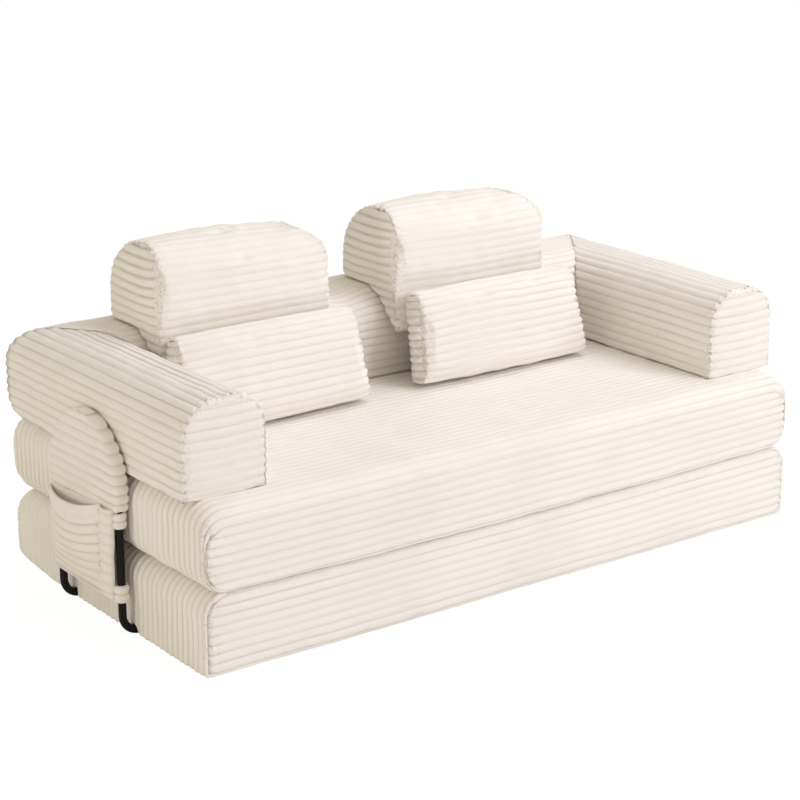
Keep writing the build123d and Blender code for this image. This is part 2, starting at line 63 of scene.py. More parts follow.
MM = 0.001
RIB_PITCH = 23.0
RIB_CELLS = 7  # of the mesh, across one rib
MATTRESS_HALF_DEPTH = 450.0
ARM_ROUND = 90.0
BACK_FRONT_ROUND = 92.0
BACK_REAR_ROUND = 104.0
BACK_BASE_ROUND = 62.0
HOOK_SLIP = 1.5  # between a headrest's hook and the back
TUBE_RADIUS = 9.5
TUBE_BEND = 42.0
FOOT_SLIP = 1.5  # between a foot and its channel
SEAM_SAG = 8.0  # of the front seam, in its middle
SEAM_HALF_WIDTH = 895.0
MITRE_SEAM = 14.0  # how far the seam where arm and back meet counts as away, since it is hidden
BASE_SEAM = 12.0  # the same for the seams that lie on the seat
STIFFNESS = {"tension": 12, "compression": 6, "shear": 4, "bending": 0.4}
CLOTH_FRAMES = 20

Array = np.ndarray
Steps = tuple[tuple[int, ...], ...]


class Side(Enum):
    """Which side of the sofa a piece is on."""

    LEFT = -1
    RIGHT = 1

    def names(self, *parts: str) -> tuple[str, ...]:
        """The frame's names for parts on this side."""
        return tuple(f"{self.name.lower()}_{part}" for part in parts)


# Numbers and paths


def unit(vector: Array) -> Array:
    """A vector at length 1."""
    return vector / max(float(np.linalg.norm(vector)), 1e-12)


def node_box(*names: str) -> tuple[Array, Array]:
    """Find the box that one or more of the frame's nodes fill.

    Args:
        names: The nodes.

    Returns:
        The lowest and highest corner, in millimetres.
    """
    corners = [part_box(name) for name in names]
    low = np.min([np.array(box[0]) for box in corners], axis=0) / MM
    high = np.max([np.array(box[1]) for box in corners], axis=0) / MM
    return low, high


def ripple(points: Array, wavelength: float, seed: int, waves: int = 6) -> Array:
    """Draw smooth uneven waves through space, the same on each run.

    Args:
        points: Where to read them.
        wavelength: The waves' mean length.
        seed: Which of the possible patterns.
        waves: How many plain waves are added up.

    Returns:
        One number for each point, mostly between -1 and 1.
    """
    draw = np.random.default_rng(seed)
    total = np.zeros(len(points))
    for _ in range(waves):
        way = unit(draw.normal(size=3))
        length = wavelength * draw.uniform(0.7, 1.5)
        total += np.sin(points @ way * (2 * math.pi / length) + draw.uniform(0, 2 * math.pi))
    return total / math.sqrt(2 * waves) * 1.2


def dip(distance: Array, radius: float) -> Array:
    """How far an edge rounded by radius lies below its face, at a distance from the edge."""
    inside = np.clip(radius - distance, 0, radius)
    return radius - np.sqrt(np.maximum(radius * radius - inside * inside, 0))


def within(shares: Array) -> Array:
    """Shares held between 0 and 1."""
    return np.clip(shares, 0, 1)


def columns(*rows: Array) -> Array:
    """Points from the rows of their coordinates."""
    return np.stack(rows, axis=1)


def dome(share: Array, power: float = 2) -> Array:
    """A bulge that is 1 at the middle of a run and 0 at both of its ends."""
    return 1 - np.abs(2 * share - 1) ** power


class Path:
    """A run of straight lines with rounded corners in a plane, read by its length."""

    def __init__(self, points: list[tuple[float, float]], radii: list[float]) -> None:
        """Lay the run out.

        Args:
            points: Its start, corners and end.
            radii: The radius of each corner.
        """
        corners = [np.array(point, float) for point in points]
        self.runs: list[tuple[float, Array, Array, float]] = []
        start = corners[0]
        for before, corner, after, radius in zip(corners, corners[1:], corners[2:], radii):
            way_in, way_out = unit(corner - before), unit(after - corner)
            cross = way_in[0] * way_out[1] - way_in[1] * way_out[0]
            turn = math.atan2(cross, float(way_in @ way_out))
            cut = radius * math.tan(abs(turn) / 2)
            self._add_line(start, corner - way_in * cut)
            left = np.array([-way_in[1], way_in[0]]) * math.copysign(1, turn)
            centre = corner - way_in * cut + left * radius
            curl = math.copysign(1 / radius, turn)
            self.runs.append((radius * abs(turn), centre, -left * radius, curl))
            start = corner + way_out * cut
        self._add_line(start, corners[-1])
        self.length = sum(run[0] for run in self.runs)

    def _add_line(self, start: Array, stop: Array) -> None:
        """Add a straight stretch."""
        self.runs.append((float(np.linalg.norm(stop - start)), start, unit(stop - start), 0.0))

    def at(self, lengths: Array) -> Array:
        """Read the places at these lengths along the run.

        Args:
            lengths: Lengths from the start.

        Returns:
            One point in the plane for each length.
        """
        places = np.zeros((len(lengths), 2))
        begun = 0.0
        for index, (length, base, way, curl) in enumerate(self.runs):
            last = index == len(self.runs) - 1
            here = (lengths >= begun) & ((lengths <= begun + length) | last)
            step = np.clip(lengths[here] - begun, 0, length)[:, None]
            if curl == 0:
                places[here] = base + way * step
            else:
                cos, sin = np.cos(step * curl), np.sin(step * curl)
                spoke = np.hstack([way[0] * cos - way[1] * sin, way[0] * sin + way[1] * cos])
                places[here] = base + spoke
            begun += length
        return places

    def along(self, shares: Array) -> Array:
        """Read the place in the plane at each of these shares of the whole length."""
        return self.at(shares * self.length)


# Finishes


def linear(code: str) -> tuple[float, float, float, float]:
    """Turn an sRGB hex code into the linear colour that a shader takes."""
    shares = [int(code[place : place + 2], 16) / 255 for place in (1, 3, 5)]
    return (*[s / 12.92 if s <= 0.04045 else ((s + 0.055) / 1.055) ** 2.4 for s in shares], 1.0)


class Shader:
    """The node tree of a material or of the world, built node by node."""

    def __init__(self, owner: Material | World) -> None:
        """Clear the owner's tree."""
        owner.use_nodes = True
        self.owner = owner
        self.tree = owner.node_tree
        self.tree.nodes.clear()

    def add(self, kind: str, settings: dict | None = None) -> Node:
        """Add one node.

        Args:
            kind: The node's type, without the words that all types begin with.
            settings: Its properties, and by name or number its sockets' values or sources.

        Returns:
            The node.
        """
        node = self.tree.nodes.new(f"ShaderNode{kind}")
        for name, value in (settings or {}).items():
            if isinstance(value, NodeSocket):
                self.tree.links.new(value, node.inputs[name])
            elif isinstance(name, str) and hasattr(node, name):
                setattr(node, name, value)
            else:
                node.inputs[name].default_value = value
        return node

    def math(self, operation: str, first, second=0.5) -> NodeSocket:
        """Calculate with one or two numbers or sockets."""
        return self.add("Math", {"operation": operation, 0: first, 1: second}).outputs[0]

    def mix(self, share: NodeSocket, first, second) -> NodeSocket:
        """Blend from the first colour to the second, each a colour or a socket."""
        settings = {"data_type": "RGBA", 0: share, 6: first, 7: second}
        return self.add("Mix", settings).outputs[2]

    def noise(self, size: float, detail: float, roughness: float = 0.5) -> NodeSocket:
        """Even noise whose lumps are size millimetres across, fixed to the object."""
        place = self.add("TexCoord").outputs["Object"]
        settings = {"Scale": 1 / (size * MM), "Detail": detail, "Roughness": roughness, "Vector": place}
        return self.add("TexNoise", settings).outputs["Fac"]

    def ramp(self, source: NodeSocket, low: float, high: float) -> NodeSocket:
        """A smooth step from 0 at low to 1 at high."""
        step = {"interpolation_type": "SMOOTHSTEP", "From Min": low, "From Max": high, "Value": source}
        return self.add("MapRange", step).outputs["Result"]

    def bump(self, strength: float, depth: float, height: NodeSocket, **below):
        """Small relief, depth millimetres deep."""
        settings = {"Strength": strength, "Distance": depth * MM, "Height": height, **below}
        return self.add("Bump", settings).outputs[0]

    def principled(self, **settings) -> Material:
        """End a material with its surface, whose settings have the sockets' names."""
        named = {name.replace("_", " "): value for name, value in settings.items()}
        surface = self.add("BsdfPrincipled", named)
        self.add("OutputMaterial", {"Surface": surface.outputs[0]})
        return self.owner


@dataclass(frozen=True)
class Corduroy:
    """Brushed polyester corduroy with wide wales: dull, soft-edged, with a woolly pile.

    The pile's tips catch the light, so the wales look pale and velvety. The grooves between them
    get a painted shade, a little darker and warmer, and the curled pile beside a seam gets
    painted flecks of shade.
    """

    name: str = "brushed_corduroy"
    crest: str = "#F6F2E9"
    # painted shade: the colour blended into the grooves, darker than the crests
    groove: str = "#DDD2C1"
    shade: str = "#EEE8DD"
    # painted shade: dark flecks among the curled pile beside a seam
    curl_shade: str = "#B7AB96"
    pile_mm: float = 1.6  # tufts, drawn as coarse as the render can show
    curl_mm: float = 6.5  # the curly pile beside a seam and its painted flecks of shade
    patch_mm: float = 130.0  # where the pile has been brushed another way
    groove_power: float = 2.6  # how narrow the painted shade in the grooves stays
    patch_share: float = 0.35
    tuft_share: float = 0.16
    # how strong the painted flecks of shade beside a seam are
    curl_shade_share: float = 0.55
    lumpiness: float = 0.55  # the noises' roughness

    def make(self) -> Material:
        """Build the material.

        Returns:
            The material, which reads the rib and seam attributes of a mesh, and by them paints shade into the
            grooves and flecks of shade among the curled pile.
        """
        shader = Shader(bpy.data.materials.new(self.name))
        rib = shader.add("Attribute", {"attribute_name": "rib"}).outputs["Fac"]
        seam = shader.add("Attribute", {"attribute_name": "seam"}).outputs["Fac"]
        pile = shader.noise(self.pile_mm, 3.0, self.lumpiness)
        curls = shader.noise(self.curl_mm, 2.0, self.lumpiness)
        patches = shader.ramp(shader.noise(self.patch_mm, 2.0, self.lumpiness), 0.42, 0.68)
        # Painted shade: the groove colour is blended in where the rib attribute is deep; random tufts take
        # the same darker colour.
        groove = linear(self.groove)
        colour = shader.mix(shader.math("POWER", rib, self.groove_power), linear(self.crest), groove)
        patchy = shader.math("MULTIPLY", patches, self.patch_share)
        colour = shader.mix(patchy, colour, linear(self.shade))
        tufts = shader.math("MULTIPLY", shader.ramp(pile, 0.55, 0.75), self.tuft_share)
        colour = shader.mix(tufts, colour, groove)
        # Painted shade: dark flecks where the curl noise is high and the seam attribute marks the curled pile
        # beside a seam.
        curl_shade_mask = shader.math("MULTIPLY", shader.ramp(curls, 0.56, 0.66), seam)
        curl_shade_mask = shader.math("MULTIPLY", curl_shade_mask, self.curl_shade_share)
        colour = shader.mix(curl_shade_mask, colour, linear(self.curl_shade))
        fine = shader.bump(0.5, 0.7, pile)
        bump = shader.bump(0.8, 2.2, shader.math("MULTIPLY", curls, seam), Normal=fine)
        return shader.principled(
            Base_Color=colour,
            Roughness=0.95,
            Specular_IOR_Level=0.15,
            Sheen_Weight=0.12,
            Sheen_Roughness=0.6,
            Normal=bump,
        )


@dataclass(frozen=True)
class PlainFinish:
    """A finish of one colour with a fine grain, such as powder coat, moulded plastic or plated metal."""

    name: str
    colour: str
    worn: str
    roughness: float
    metallic: float = 0.0
    specular: float = 0.5
    grain_mm: float = 1.0
    grain_depth_mm: float = 0.05
    wear_mm: float = 30.0
    polished: float = 0.88  # of the roughness, at its lowest
    rubbed: float = 1.15  # of the roughness, at its highest

    def make(self) -> Material:
        """Build the material.

        Returns:
            The material.
        """
        shader = Shader(bpy.data.materials.new(self.name))
        grain = shader.noise(self.grain_mm, 2.0)
        wear = shader.noise(self.wear_mm, 3.0)
        colour = shader.mix(shader.ramp(wear, 0.45, 0.75), linear(self.colour), linear(self.worn))
        smoothest, roughest = self.roughness * self.polished, min(1.0, self.roughness * self.rubbed)
        rough = shader.add("MapRange", {"To Min": smoothest, "To Max": roughest, "Value": wear})
        return shader.principled(
            Base_Color=colour,
            Roughness=rough.outputs["Result"],
            Metallic=self.metallic,
            Specular_IOR_Level=self.specular,
            Normal=shader.bump(0.5, self.grain_depth_mm, grain),
        )


@dataclass(frozen=True)
class ZipTape:
    """Woven polyester tape with a nylon coil: a herringbone band with a row of teeth down its middle."""

    name: str = "woven_zip_tape"
    tape: str = "#E2DACA"
    thread: str = "#C9BFAC"
    teeth: str = "#D8CFBD"
    thread_mm: float = 1.4  # coarser than the real thread, so that it shows
    tooth_mm: float = 2.4
    teeth_half_mm: float = 3.2

    def make(self, middle_z: float) -> Material:
        """Build the material.

        Args:
            middle_z: The height of the teeth.

        Returns:
            The material.
        """
        shader = Shader(bpy.data.materials.new(self.name))
        place = shader.add("TexCoord").outputs["Object"]
        centred = shader.add("Mapping", {"Location": (0.0, 0.0, -middle_z * MM), "Vector": place})
        split = shader.add("SeparateXYZ", {0: centred.outputs[0]}).outputs
        off = shader.math("ABSOLUTE", split["Z"])
        weave = self._wave(shader, shader.math("ADD", split["X"], off), self.thread_mm)
        coil = self._wave(shader, split["X"], self.tooth_mm)
        middle = shader.math("LESS_THAN", off, self.teeth_half_mm * MM)
        cloth = shader.mix(weave, linear(self.tape), linear(self.thread))
        nylon = shader.mix(coil, linear(self.thread), linear(self.teeth))
        height = shader.add("Mix", {"data_type": "FLOAT", 0: middle, 2: weave, 3: coil}).outputs[0]
        return shader.principled(
            Base_Color=shader.mix(middle, cloth, nylon),
            Roughness=0.8,
            Specular_IOR_Level=0.3,
            Normal=shader.bump(0.7, 0.4, height),
        )

    def _wave(self, shader: Shader, source: NodeSocket, length: float) -> NodeSocket:
        """A wave from 0 to 1 that repeats every length millimetres."""
        sine = shader.math("SINE", shader.math("MULTIPLY", source, 2 * math.pi / (length * MM)))
        return shader.add("MapRange", {"From Min": -1.0, "Value": sine}).outputs["Result"]


FINISHES = {
    "black_tube": PlainFinish("powder_coated_steel", "#0B0B0C", "#121213", 0.5, specular=0.2),
    "black_plastic": PlainFinish("moulded_polyethylene", "#1E1E1E", "#262626", 0.6),
    "zip_metal": PlainFinish("nickel_plated_zinc", "#B9B6AE", "#A8A49B", 0.28, metallic=1.0),
    "foam": PlainFinish(
        "cut_polyurethane_foam", "#EFE7CC", "#E4DAB9", 0.95, grain_mm=1.5, grain_depth_mm=0.4
    ),
    "seam_welt": PlainFinish("covered_piping", "#DDD3C2", "#CFC4B0", 0.9, grain_mm=0.8, grain_depth_mm=0.2),
}


# Meshes


def deselect() -> None:
    """Leave edit mode and deselect everything, so that the next operator acts on nothing old."""
    if bpy.context.object and bpy.context.object.mode != "OBJECT":
        bpy.ops.object.mode_set(mode="OBJECT")
    bpy.ops.object.select_all(action="DESELECT")


def select_only(piece: Object) -> None:
    """Select one piece and make it the active one."""
    deselect()
    bpy.context.view_layer.objects.active = piece
    piece.select_set(True)


def named_object(name: str) -> Object:
    """Name the object that an operator has just added."""
    piece = bpy.context.object
    piece.name = piece.data.name = name
    return piece


def edit_whole() -> None:
    """Go into edit mode with all of the active mesh selected."""
    bpy.ops.object.mode_set(mode="EDIT")
    bpy.ops.mesh.select_all(action="SELECT")


def read_points(mesh: Mesh, what: str = "co") -> Array:
    """Read the places of a mesh's points as they are stored, or their normals."""
    flat = np.zeros(len(mesh.vertices) * 3, np.float32)
    mesh.vertices.foreach_get(what, flat)
    return flat.reshape(-1, 3).astype(float)


def write_points(piece: Object, points: Array) -> None:
    """Move a mesh's points to these places, in millimetres."""
    piece.data.vertices.foreach_set("co", (points * MM).astype(np.float32).ravel())
    piece.data.update()


def put_attribute(piece: Object, name: str, values: Array) -> None:
    """Store one number at each point of a mesh."""
    attribute = piece.data.attributes.new(name, "FLOAT", "POINT")
    attribute.data.foreach_set("value", values.astype(np.float32))


def subdivide_along(piece: Object, axis: int, parts: int) -> None:
    """Cut every edge that runs along an axis into parts, in edit mode."""
    bpy.ops.mesh.select_all(action="DESELECT")
    shell = bmesh.from_edit_mesh(piece.data)
    for edge in shell.edges:
        start, stop = edge.verts[0].co, edge.verts[1].co
        edge.select = abs(start[axis] - stop[axis]) > 1e-6
    shell.select_flush_mode()
    bmesh.update_edit_mesh(piece.data)
    bpy.ops.mesh.subdivide(number_cuts=parts - 1)


@dataclass
class Cells:
    """Where each point of a block stands among the block's cells, in one row for each side."""

    at: Array
    counts: tuple[int, ...]

    @property
    def shares(self) -> Array:
        """The places as shares of the block's three sides."""
        return self.at / np.array(self.counts)[:, None]

    def ends(self, axis: int) -> Array:
        """Which points lie on the block's two end faces along an axis."""
        return (self.at[axis] == 0) | (self.at[axis] == self.counts[axis])

    def cap(self, axis: int) -> Array:
        """Which points lie on those two faces, away from the faces' edges."""
        return self.ends(axis) & ~self.ends((axis + 1) % 3) & ~self.ends((axis + 2) % 3)

    def outward(self, axis: int) -> Array:
        """Which way the block's end faces look along an axis: -1, 1, or 0 away from them."""
        return np.where(self.cap(axis), np.where(self.at[axis] == 0, -1, 1), 0)

    def underside(self, axis: int) -> Array:
        """Which points lie on the base, away from its edges along an axis."""
        return (self.at[2] == 0) & ~self.ends(axis)


def cut_block(name: str, steps: Steps) -> tuple[Object, Cells]:
    """Cut a cube into cells, step by step along each of its three sides.

    Args:
        name: The object's name.
        steps: For each side, the numbers of parts that it is cut into, one after the other.

    Returns:
        The block, from -1 to 1 each way, and where its points stand.
    """
    deselect()
    bpy.ops.mesh.primitive_cube_add(size=2)
    block = named_object(name)
    bpy.ops.object.mode_set(mode="EDIT")
    bpy.ops.mesh.select_mode(type="EDGE")
    for axis, parts in enumerate(steps):
        for part in parts:
            subdivide_along(block, axis, part)
    bpy.ops.object.mode_set(mode="OBJECT")
    counts = tuple(math.prod(parts) for parts in steps)
    places = (read_points(block.data) + 1) / 2 * counts
    return block, Cells(np.rint(places).astype(int).T, counts)


@dataclass
class Piece:
    """A piece of the sofa that takes the place of some of the frame's nodes."""

    name: str
    body: str
    stands_for: tuple[str, ...]
    slot = "cream_corduroy"
    fill = 0.75  # how much of a padded piece is filling, 0 for one that isn't padded

    def shape(self) -> Object:
        """Make the piece's mesh, with the attributes that its material reads."""
        raise NotImplementedError

    def build(self, material: Material) -> Object:
        """Make the piece and put it on its body.

        Args:
            material: Its material.

        Returns:
            The finished object.
        """
        piece = self.shape()
        piece.data.materials.append(material)
        piece.data.polygons.foreach_set("use_smooth", [True] * len(piece.data.polygons))
        piece.data.update()
        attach(piece, self.body)
        if self.stands_for:
            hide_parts(*self.stands_for)
        log.info("%s: %d points on %s", piece.name, len(piece.data.vertices), self.body)
        return piece


# Padded pieces


def rib_shape(ribs: Array) -> Array:
    """How deep corduroy lies below its crests, from 0 on a crest to 1 in a groove."""
    away = np.abs(2 * (ribs - np.floor(ribs)) - 1)
    return 1 - (1 - away**2.4) ** 0.75


@dataclass
class Form:
    """The smooth form of a padded piece, point by point, before its ribs are raised."""

    points: Array
    ribs: Array  # how many ribs from the panel's first groove, not a number where it is plain
    seam: Array  # millimetres to the nearest seam
    deep: Array | float = 1.0  # the ribs' depth as a share of the piece's


@dataclass
class Padded(Piece):
    """A padded piece in corduroy. A subclass gives its steps and its form."""

    seed: int = 1
    side: Side = Side.RIGHT
    steps: Steps = ()  # how its block is cut along X, Y and Z
    cage_steps: Steps = ((24,), (6,), (20,))
    rib_depth: float = 4.6
    tuck: float = 5.0  # how far a seam is drawn in
    tuck_reach: float = 7.0
    fuzz_reach: float = 20.0  # curly pile beside a seam, which also gets painted flecks of shade
    drift: float = 0.14  # how far ribs wander, in ribs
    edge_cells: float = 0.17  # the share of a row's cells at each of its ends, where they are finer
    edge_share: float = 0.07  # the share of the length that they take
    pressure: float = 0.0  # of the filling, for a piece whose cover is simulated as cloth
    most_swell: float = 9.0
    drift_length = 420.0
    lump_length = 75.0  # of the crests' unevenness
    swell_length = 260.0
    swell_height = 1.2
    curl_length = 9.0
    curl_height = 1.3
    knuckle_height = 1.6  # where a rib ends beside a seam
    knuckle_place = 9.0
    knuckle_reach = 6.0

    @property
    def ribs_up(self) -> int:
        """How many ribs the piece has from its base to its top."""
        return self.steps[2][0]

    def form(self, cells: Cells) -> Form:
        """Place the block's points on the piece's smooth form, on the right side if it has a pair."""
        raise NotImplementedError

    def settle(self, points: Array) -> Array:
        """Let the piece sag or give where it lies, after its ribs are raised."""
        return points

    def finish_mesh(self, piece: Object) -> None:
        """Open, thicken or trim the mesh, where a piece needs it."""

    def held(self, points: Array) -> Array:
        """How firmly each point of the cage is held where it lies, from 0 to 1."""
        return np.zeros(len(points))

    def shape(self) -> Object:
        """Lay the piece on its form, swell it, raise its ribs and let it settle."""
        piece, cells, form = self.lay(self.name, self.steps)
        if self.pressure:
            form.points = form.points + self.swell(piece)
            write_points(piece, form.points)
        raised = form.points + read_points(piece.data, "normal") * self.relief(form)[:, None]
        write_points(piece, self.settle(raised))
        # The rib attribute marks how deep each point lies in a groove, where the corduroy paints its shade.
        groove = np.where(np.isnan(form.ribs), 0, rib_shape(np.nan_to_num(form.ribs)))
        put_attribute(piece, "lid", (cells.at[2] == cells.counts[2]).astype(float))
        put_attribute(piece, "rib", within(groove * form.deep))
        # The seam attribute marks the curled pile, where the corduroy paints flecks of shade.
        put_attribute(piece, "seam", self.fuzz(form))
        self.finish_mesh(piece)
        return piece

    def lay(self, name: str, steps: Steps) -> tuple[Object, Cells, Form]:
        """Cut a block and lay it on the piece's smooth form, mirrored for the left side.

        Args:
            name: The block's name.
            steps: How it is cut along X, Y and Z.

        Returns:
            The block, where its points stand among its cells, and the form.
        """
        block, cells = cut_block(name, steps)
        if self.side is Side.LEFT:
            cells.at[0] = cells.counts[0] - cells.at[0]
        form = self.form(cells)
        form.points = form.points * np.array([self.side.value, 1, 1])
        write_points(block, form.points)
        return block, cells, form

    def crowd(self, share: Array) -> Array:
        """Crowd a row of even places from 0 to 1 towards both ends, where a seam needs finer cells."""
        cells, length = self.edge_cells, self.edge_share
        return np.interp(share, [0, cells, 1 - cells, 1], [0, length, 1 - length, 1])

    def fuzz(self, form: Form) -> Array:
        """How curly the pile is at each point, 1 at a seam, which also sets where the corduroy paints flecks
        of shade.
        """
        return np.exp(-((form.seam / self.fuzz_reach) ** 2))

    def relief(self, form: Form) -> Array:
        """Work out how far each point stands off the smooth form.

        Args:
            form: The smooth form.

        Returns:
            Millimetres along the normal, below 0 in a groove.
        """
        wander = self.drift * ripple(form.points, self.drift_length, self.seed + 11)
        depth = rib_shape(np.nan_to_num(form.ribs) + wander * (form.seam > 4))
        crest = np.where(np.isnan(form.ribs), 0, -self.rib_depth * form.deep * depth)
        lumps = ripple(form.points, self.lump_length, self.seed)
        lumps += self.swell_height * ripple(form.points, self.swell_length, self.seed + 5)
        curls = self.curl_height * ripple(form.points, self.curl_length, self.seed + 3, 9) * self.fuzz(form)
        drawn = self.tuck * np.exp(-form.seam / self.tuck_reach)
        beside = (form.seam - self.knuckle_place) / self.knuckle_reach
        knuckle = self.knuckle_height * np.exp(-(beside**2)) * (1 - depth)
        return crest + lumps + curls + knuckle - drawn

    def swell(self, piece: Object) -> Array:
        """Blow the cover up with cloth physics, as its filling does.

        A coarse cage of the same form is simulated, and the piece's own mesh is bound to it.

        Args:
            piece: The object, which lies on its smooth form.

        Returns:
            How far each of the piece's points moves.
        """
        scene = bpy.context.scene
        cage, _, rest = self.lay(f"{self.name}_cage", self.cage_steps)
        group = cage.vertex_groups.new(name="held")
        for index, weight in enumerate(self.held(rest.points)):
            group.add([index], float(weight), "REPLACE")
        edit_whole()
        bpy.ops.mesh.quads_convert_to_tris()
        select_only(piece)
        carry = piece.modifiers.new("carry", "SURFACE_DEFORM")
        carry.target = cage
        bpy.ops.object.surfacedeform_bind(modifier=carry.name)
        cloth = cage.modifiers.new("cloth", "CLOTH")
        cloth.settings.quality = 6
        cloth.settings.mass = 0.4
        cloth.settings.air_damping = 4
        for name, value in STIFFNESS.items():
            setattr(cloth.settings, f"{name}_stiffness", value)
        cloth.settings.use_pressure = True
        cloth.settings.uniform_pressure_force = self.pressure
        cloth.settings.effector_weights.gravity = 0
        cloth.settings.vertex_group_mass = group.name
        cloth.collision_settings.use_collision = False
        cloth.point_cache.frame_start, cloth.point_cache.frame_end = 1, CLOTH_FRAMES
        for number in range(1, CLOTH_FRAMES + 1):
            scene.frame_set(number)
        moved = piece.evaluated_get(bpy.context.evaluated_depsgraph_get())
        shift = (read_points(moved.data) - read_points(piece.data)) / MM
        scene.frame_set(1)
        piece.modifiers.remove(carry)
        mesh = cage.data
        bpy.data.objects.remove(cage)
        bpy.data.meshes.remove(mesh)
        length = np.linalg.norm(shift, axis=1, keepdims=True)
        log.info("%s: the cloth moved by up to %.1f mm", piece.name, float(length.max()))
        return shift * np.minimum(1, self.most_swell / np.maximum(length, 1e-9))


def ring_section(
    across: Array,
    up: Array,
    half_width: Array,
    low: Array,
    high: Array,
    base_radius: Array,
    top_radius: Array,
) -> Array:
    """Place points on a rounded rectangle and, by blending its four sides, inside it.

    Args:
        across: Shares from the left side to the right one.
        up: Shares from the base to the top.
        half_width: Half of the rectangle's width.
        low: The height of its base.
        high: The height of its top.
        base_radius: The radius of its lower corners, which the sides share at their middle.
        top_radius: The radius of its upper corners.

    Returns:
        One point in the plane for each pair of shares.
    """

    def side(share: Array, first: Array, last: Array, straight: Array) -> tuple[Array, Array]:
        """Walk along a side, from the middle of its first corner to that of its last one.

        Args:
            share: Shares of the way.
            first: The radius of the first corner.
            last: The radius of the last corner.
            straight: The length between the corners.

        Returns:
            The way gone past the first corner, and how far inside the side's line each place lies.
        """
        before, after = first * math.pi / 4, last * math.pi / 4
        run = share * (before + straight + after)
        from_first = np.clip(before - run, 0, None) / first
        from_last = np.clip(run - before - straight, 0, None) / last
        gone = np.clip(run - before, 0, straight) + last * np.sin(from_last) - first * np.sin(from_first)
        return gone, first * (1 - np.cos(from_first)) + last * (1 - np.cos(from_last))

    def level(share: Array, height: Array, radius: Array, sign: int) -> Array:
        """The top or the base."""
        flat = half_width - radius
        gone, inside = side(share, radius, radius, 2 * flat)
        return columns(gone - flat, height - sign * inside)

    u, v = across[:, None], up[:, None]
    zero, one = np.zeros_like(across), np.ones_like(across)
    gone, inside = side(up, base_radius, top_radius, high - low - base_radius - top_radius)
    out, z = half_width - inside, low + base_radius + gone
    blend = (1 - u) * columns(-out, z) + u * columns(out, z)
    for weight, edge in ((1 - v, (low, base_radius, -1)), (v, (high, top_radius, 1))):
        corners = (1 - u) * level(zero, *edge) + u * level(one, *edge)
        blend = blend + weight * (level(across, *edge) - corners)
    return blend


def seam_sag(x: Array) -> Array:
    """How far the front seam between the mattresses sags at x."""
    return SEAM_SAG * within(1 - (x / SEAM_HALF_WIDTH) ** 2)


def clear_feet(points: Array) -> Array:
    """Lift a mattress's base over the hoops' feet, which lie in channels under it.

    Args:
        points: The mattress's points.

    Returns:
        Their new heights.
    """
    low, high = node_box("right_hoop_tube")
    plug_low, _ = node_box("right_hoop_foot_plugs")
    reach, plug_room, ramp = 70.0, 24.0, 20.0
    out = np.abs(points[:, 0])
    rise = dip(TUBE_BEND - np.clip(out - (high[0] - TUBE_RADIUS - TUBE_BEND), 0, TUBE_BEND), TUBE_BEND)
    lift = np.zeros(len(points))
    for leg in (low[1] + TUBE_RADIUS, high[1] - TUBE_RADIUS):
        off = np.abs(points[:, 1] - leg) / (TUBE_RADIUS + 2 * FOOT_SLIP)
        arch = (TUBE_RADIUS + FOOT_SLIP) * np.sqrt(within(1 - off**2))
        lift = np.maximum(lift, np.where(off < 1, TUBE_RADIUS + rise + arch, 0))
    lift *= within((out - plug_low[0] + plug_room) / ramp)
    return points[:, 2] + lift * within(1 - points[:, 2] / reach) ** 1.5


def clear_zip(points: Array, tape: str) -> Array:
    """Press a rear face in under its zip.

    Args:
        points: The piece's points.
        tape: The node of the zip's tape.

    Returns:
        The points, with those behind the tape moved forward.
    """
    low, high = node_box(tape)
    margin, depth, gap = 1.5, 30.0, 0.8
    inside = (np.abs(points[:, 0]) < high[0] + margin) & (points[:, 1] > low[1] - depth)
    inside &= (points[:, 2] > low[2] - margin) & (points[:, 2] < high[2] + margin)
    cleared = points.copy()
    cleared[inside, 1] = np.minimum(points[inside, 1], low[1] - gap)
    return cleared


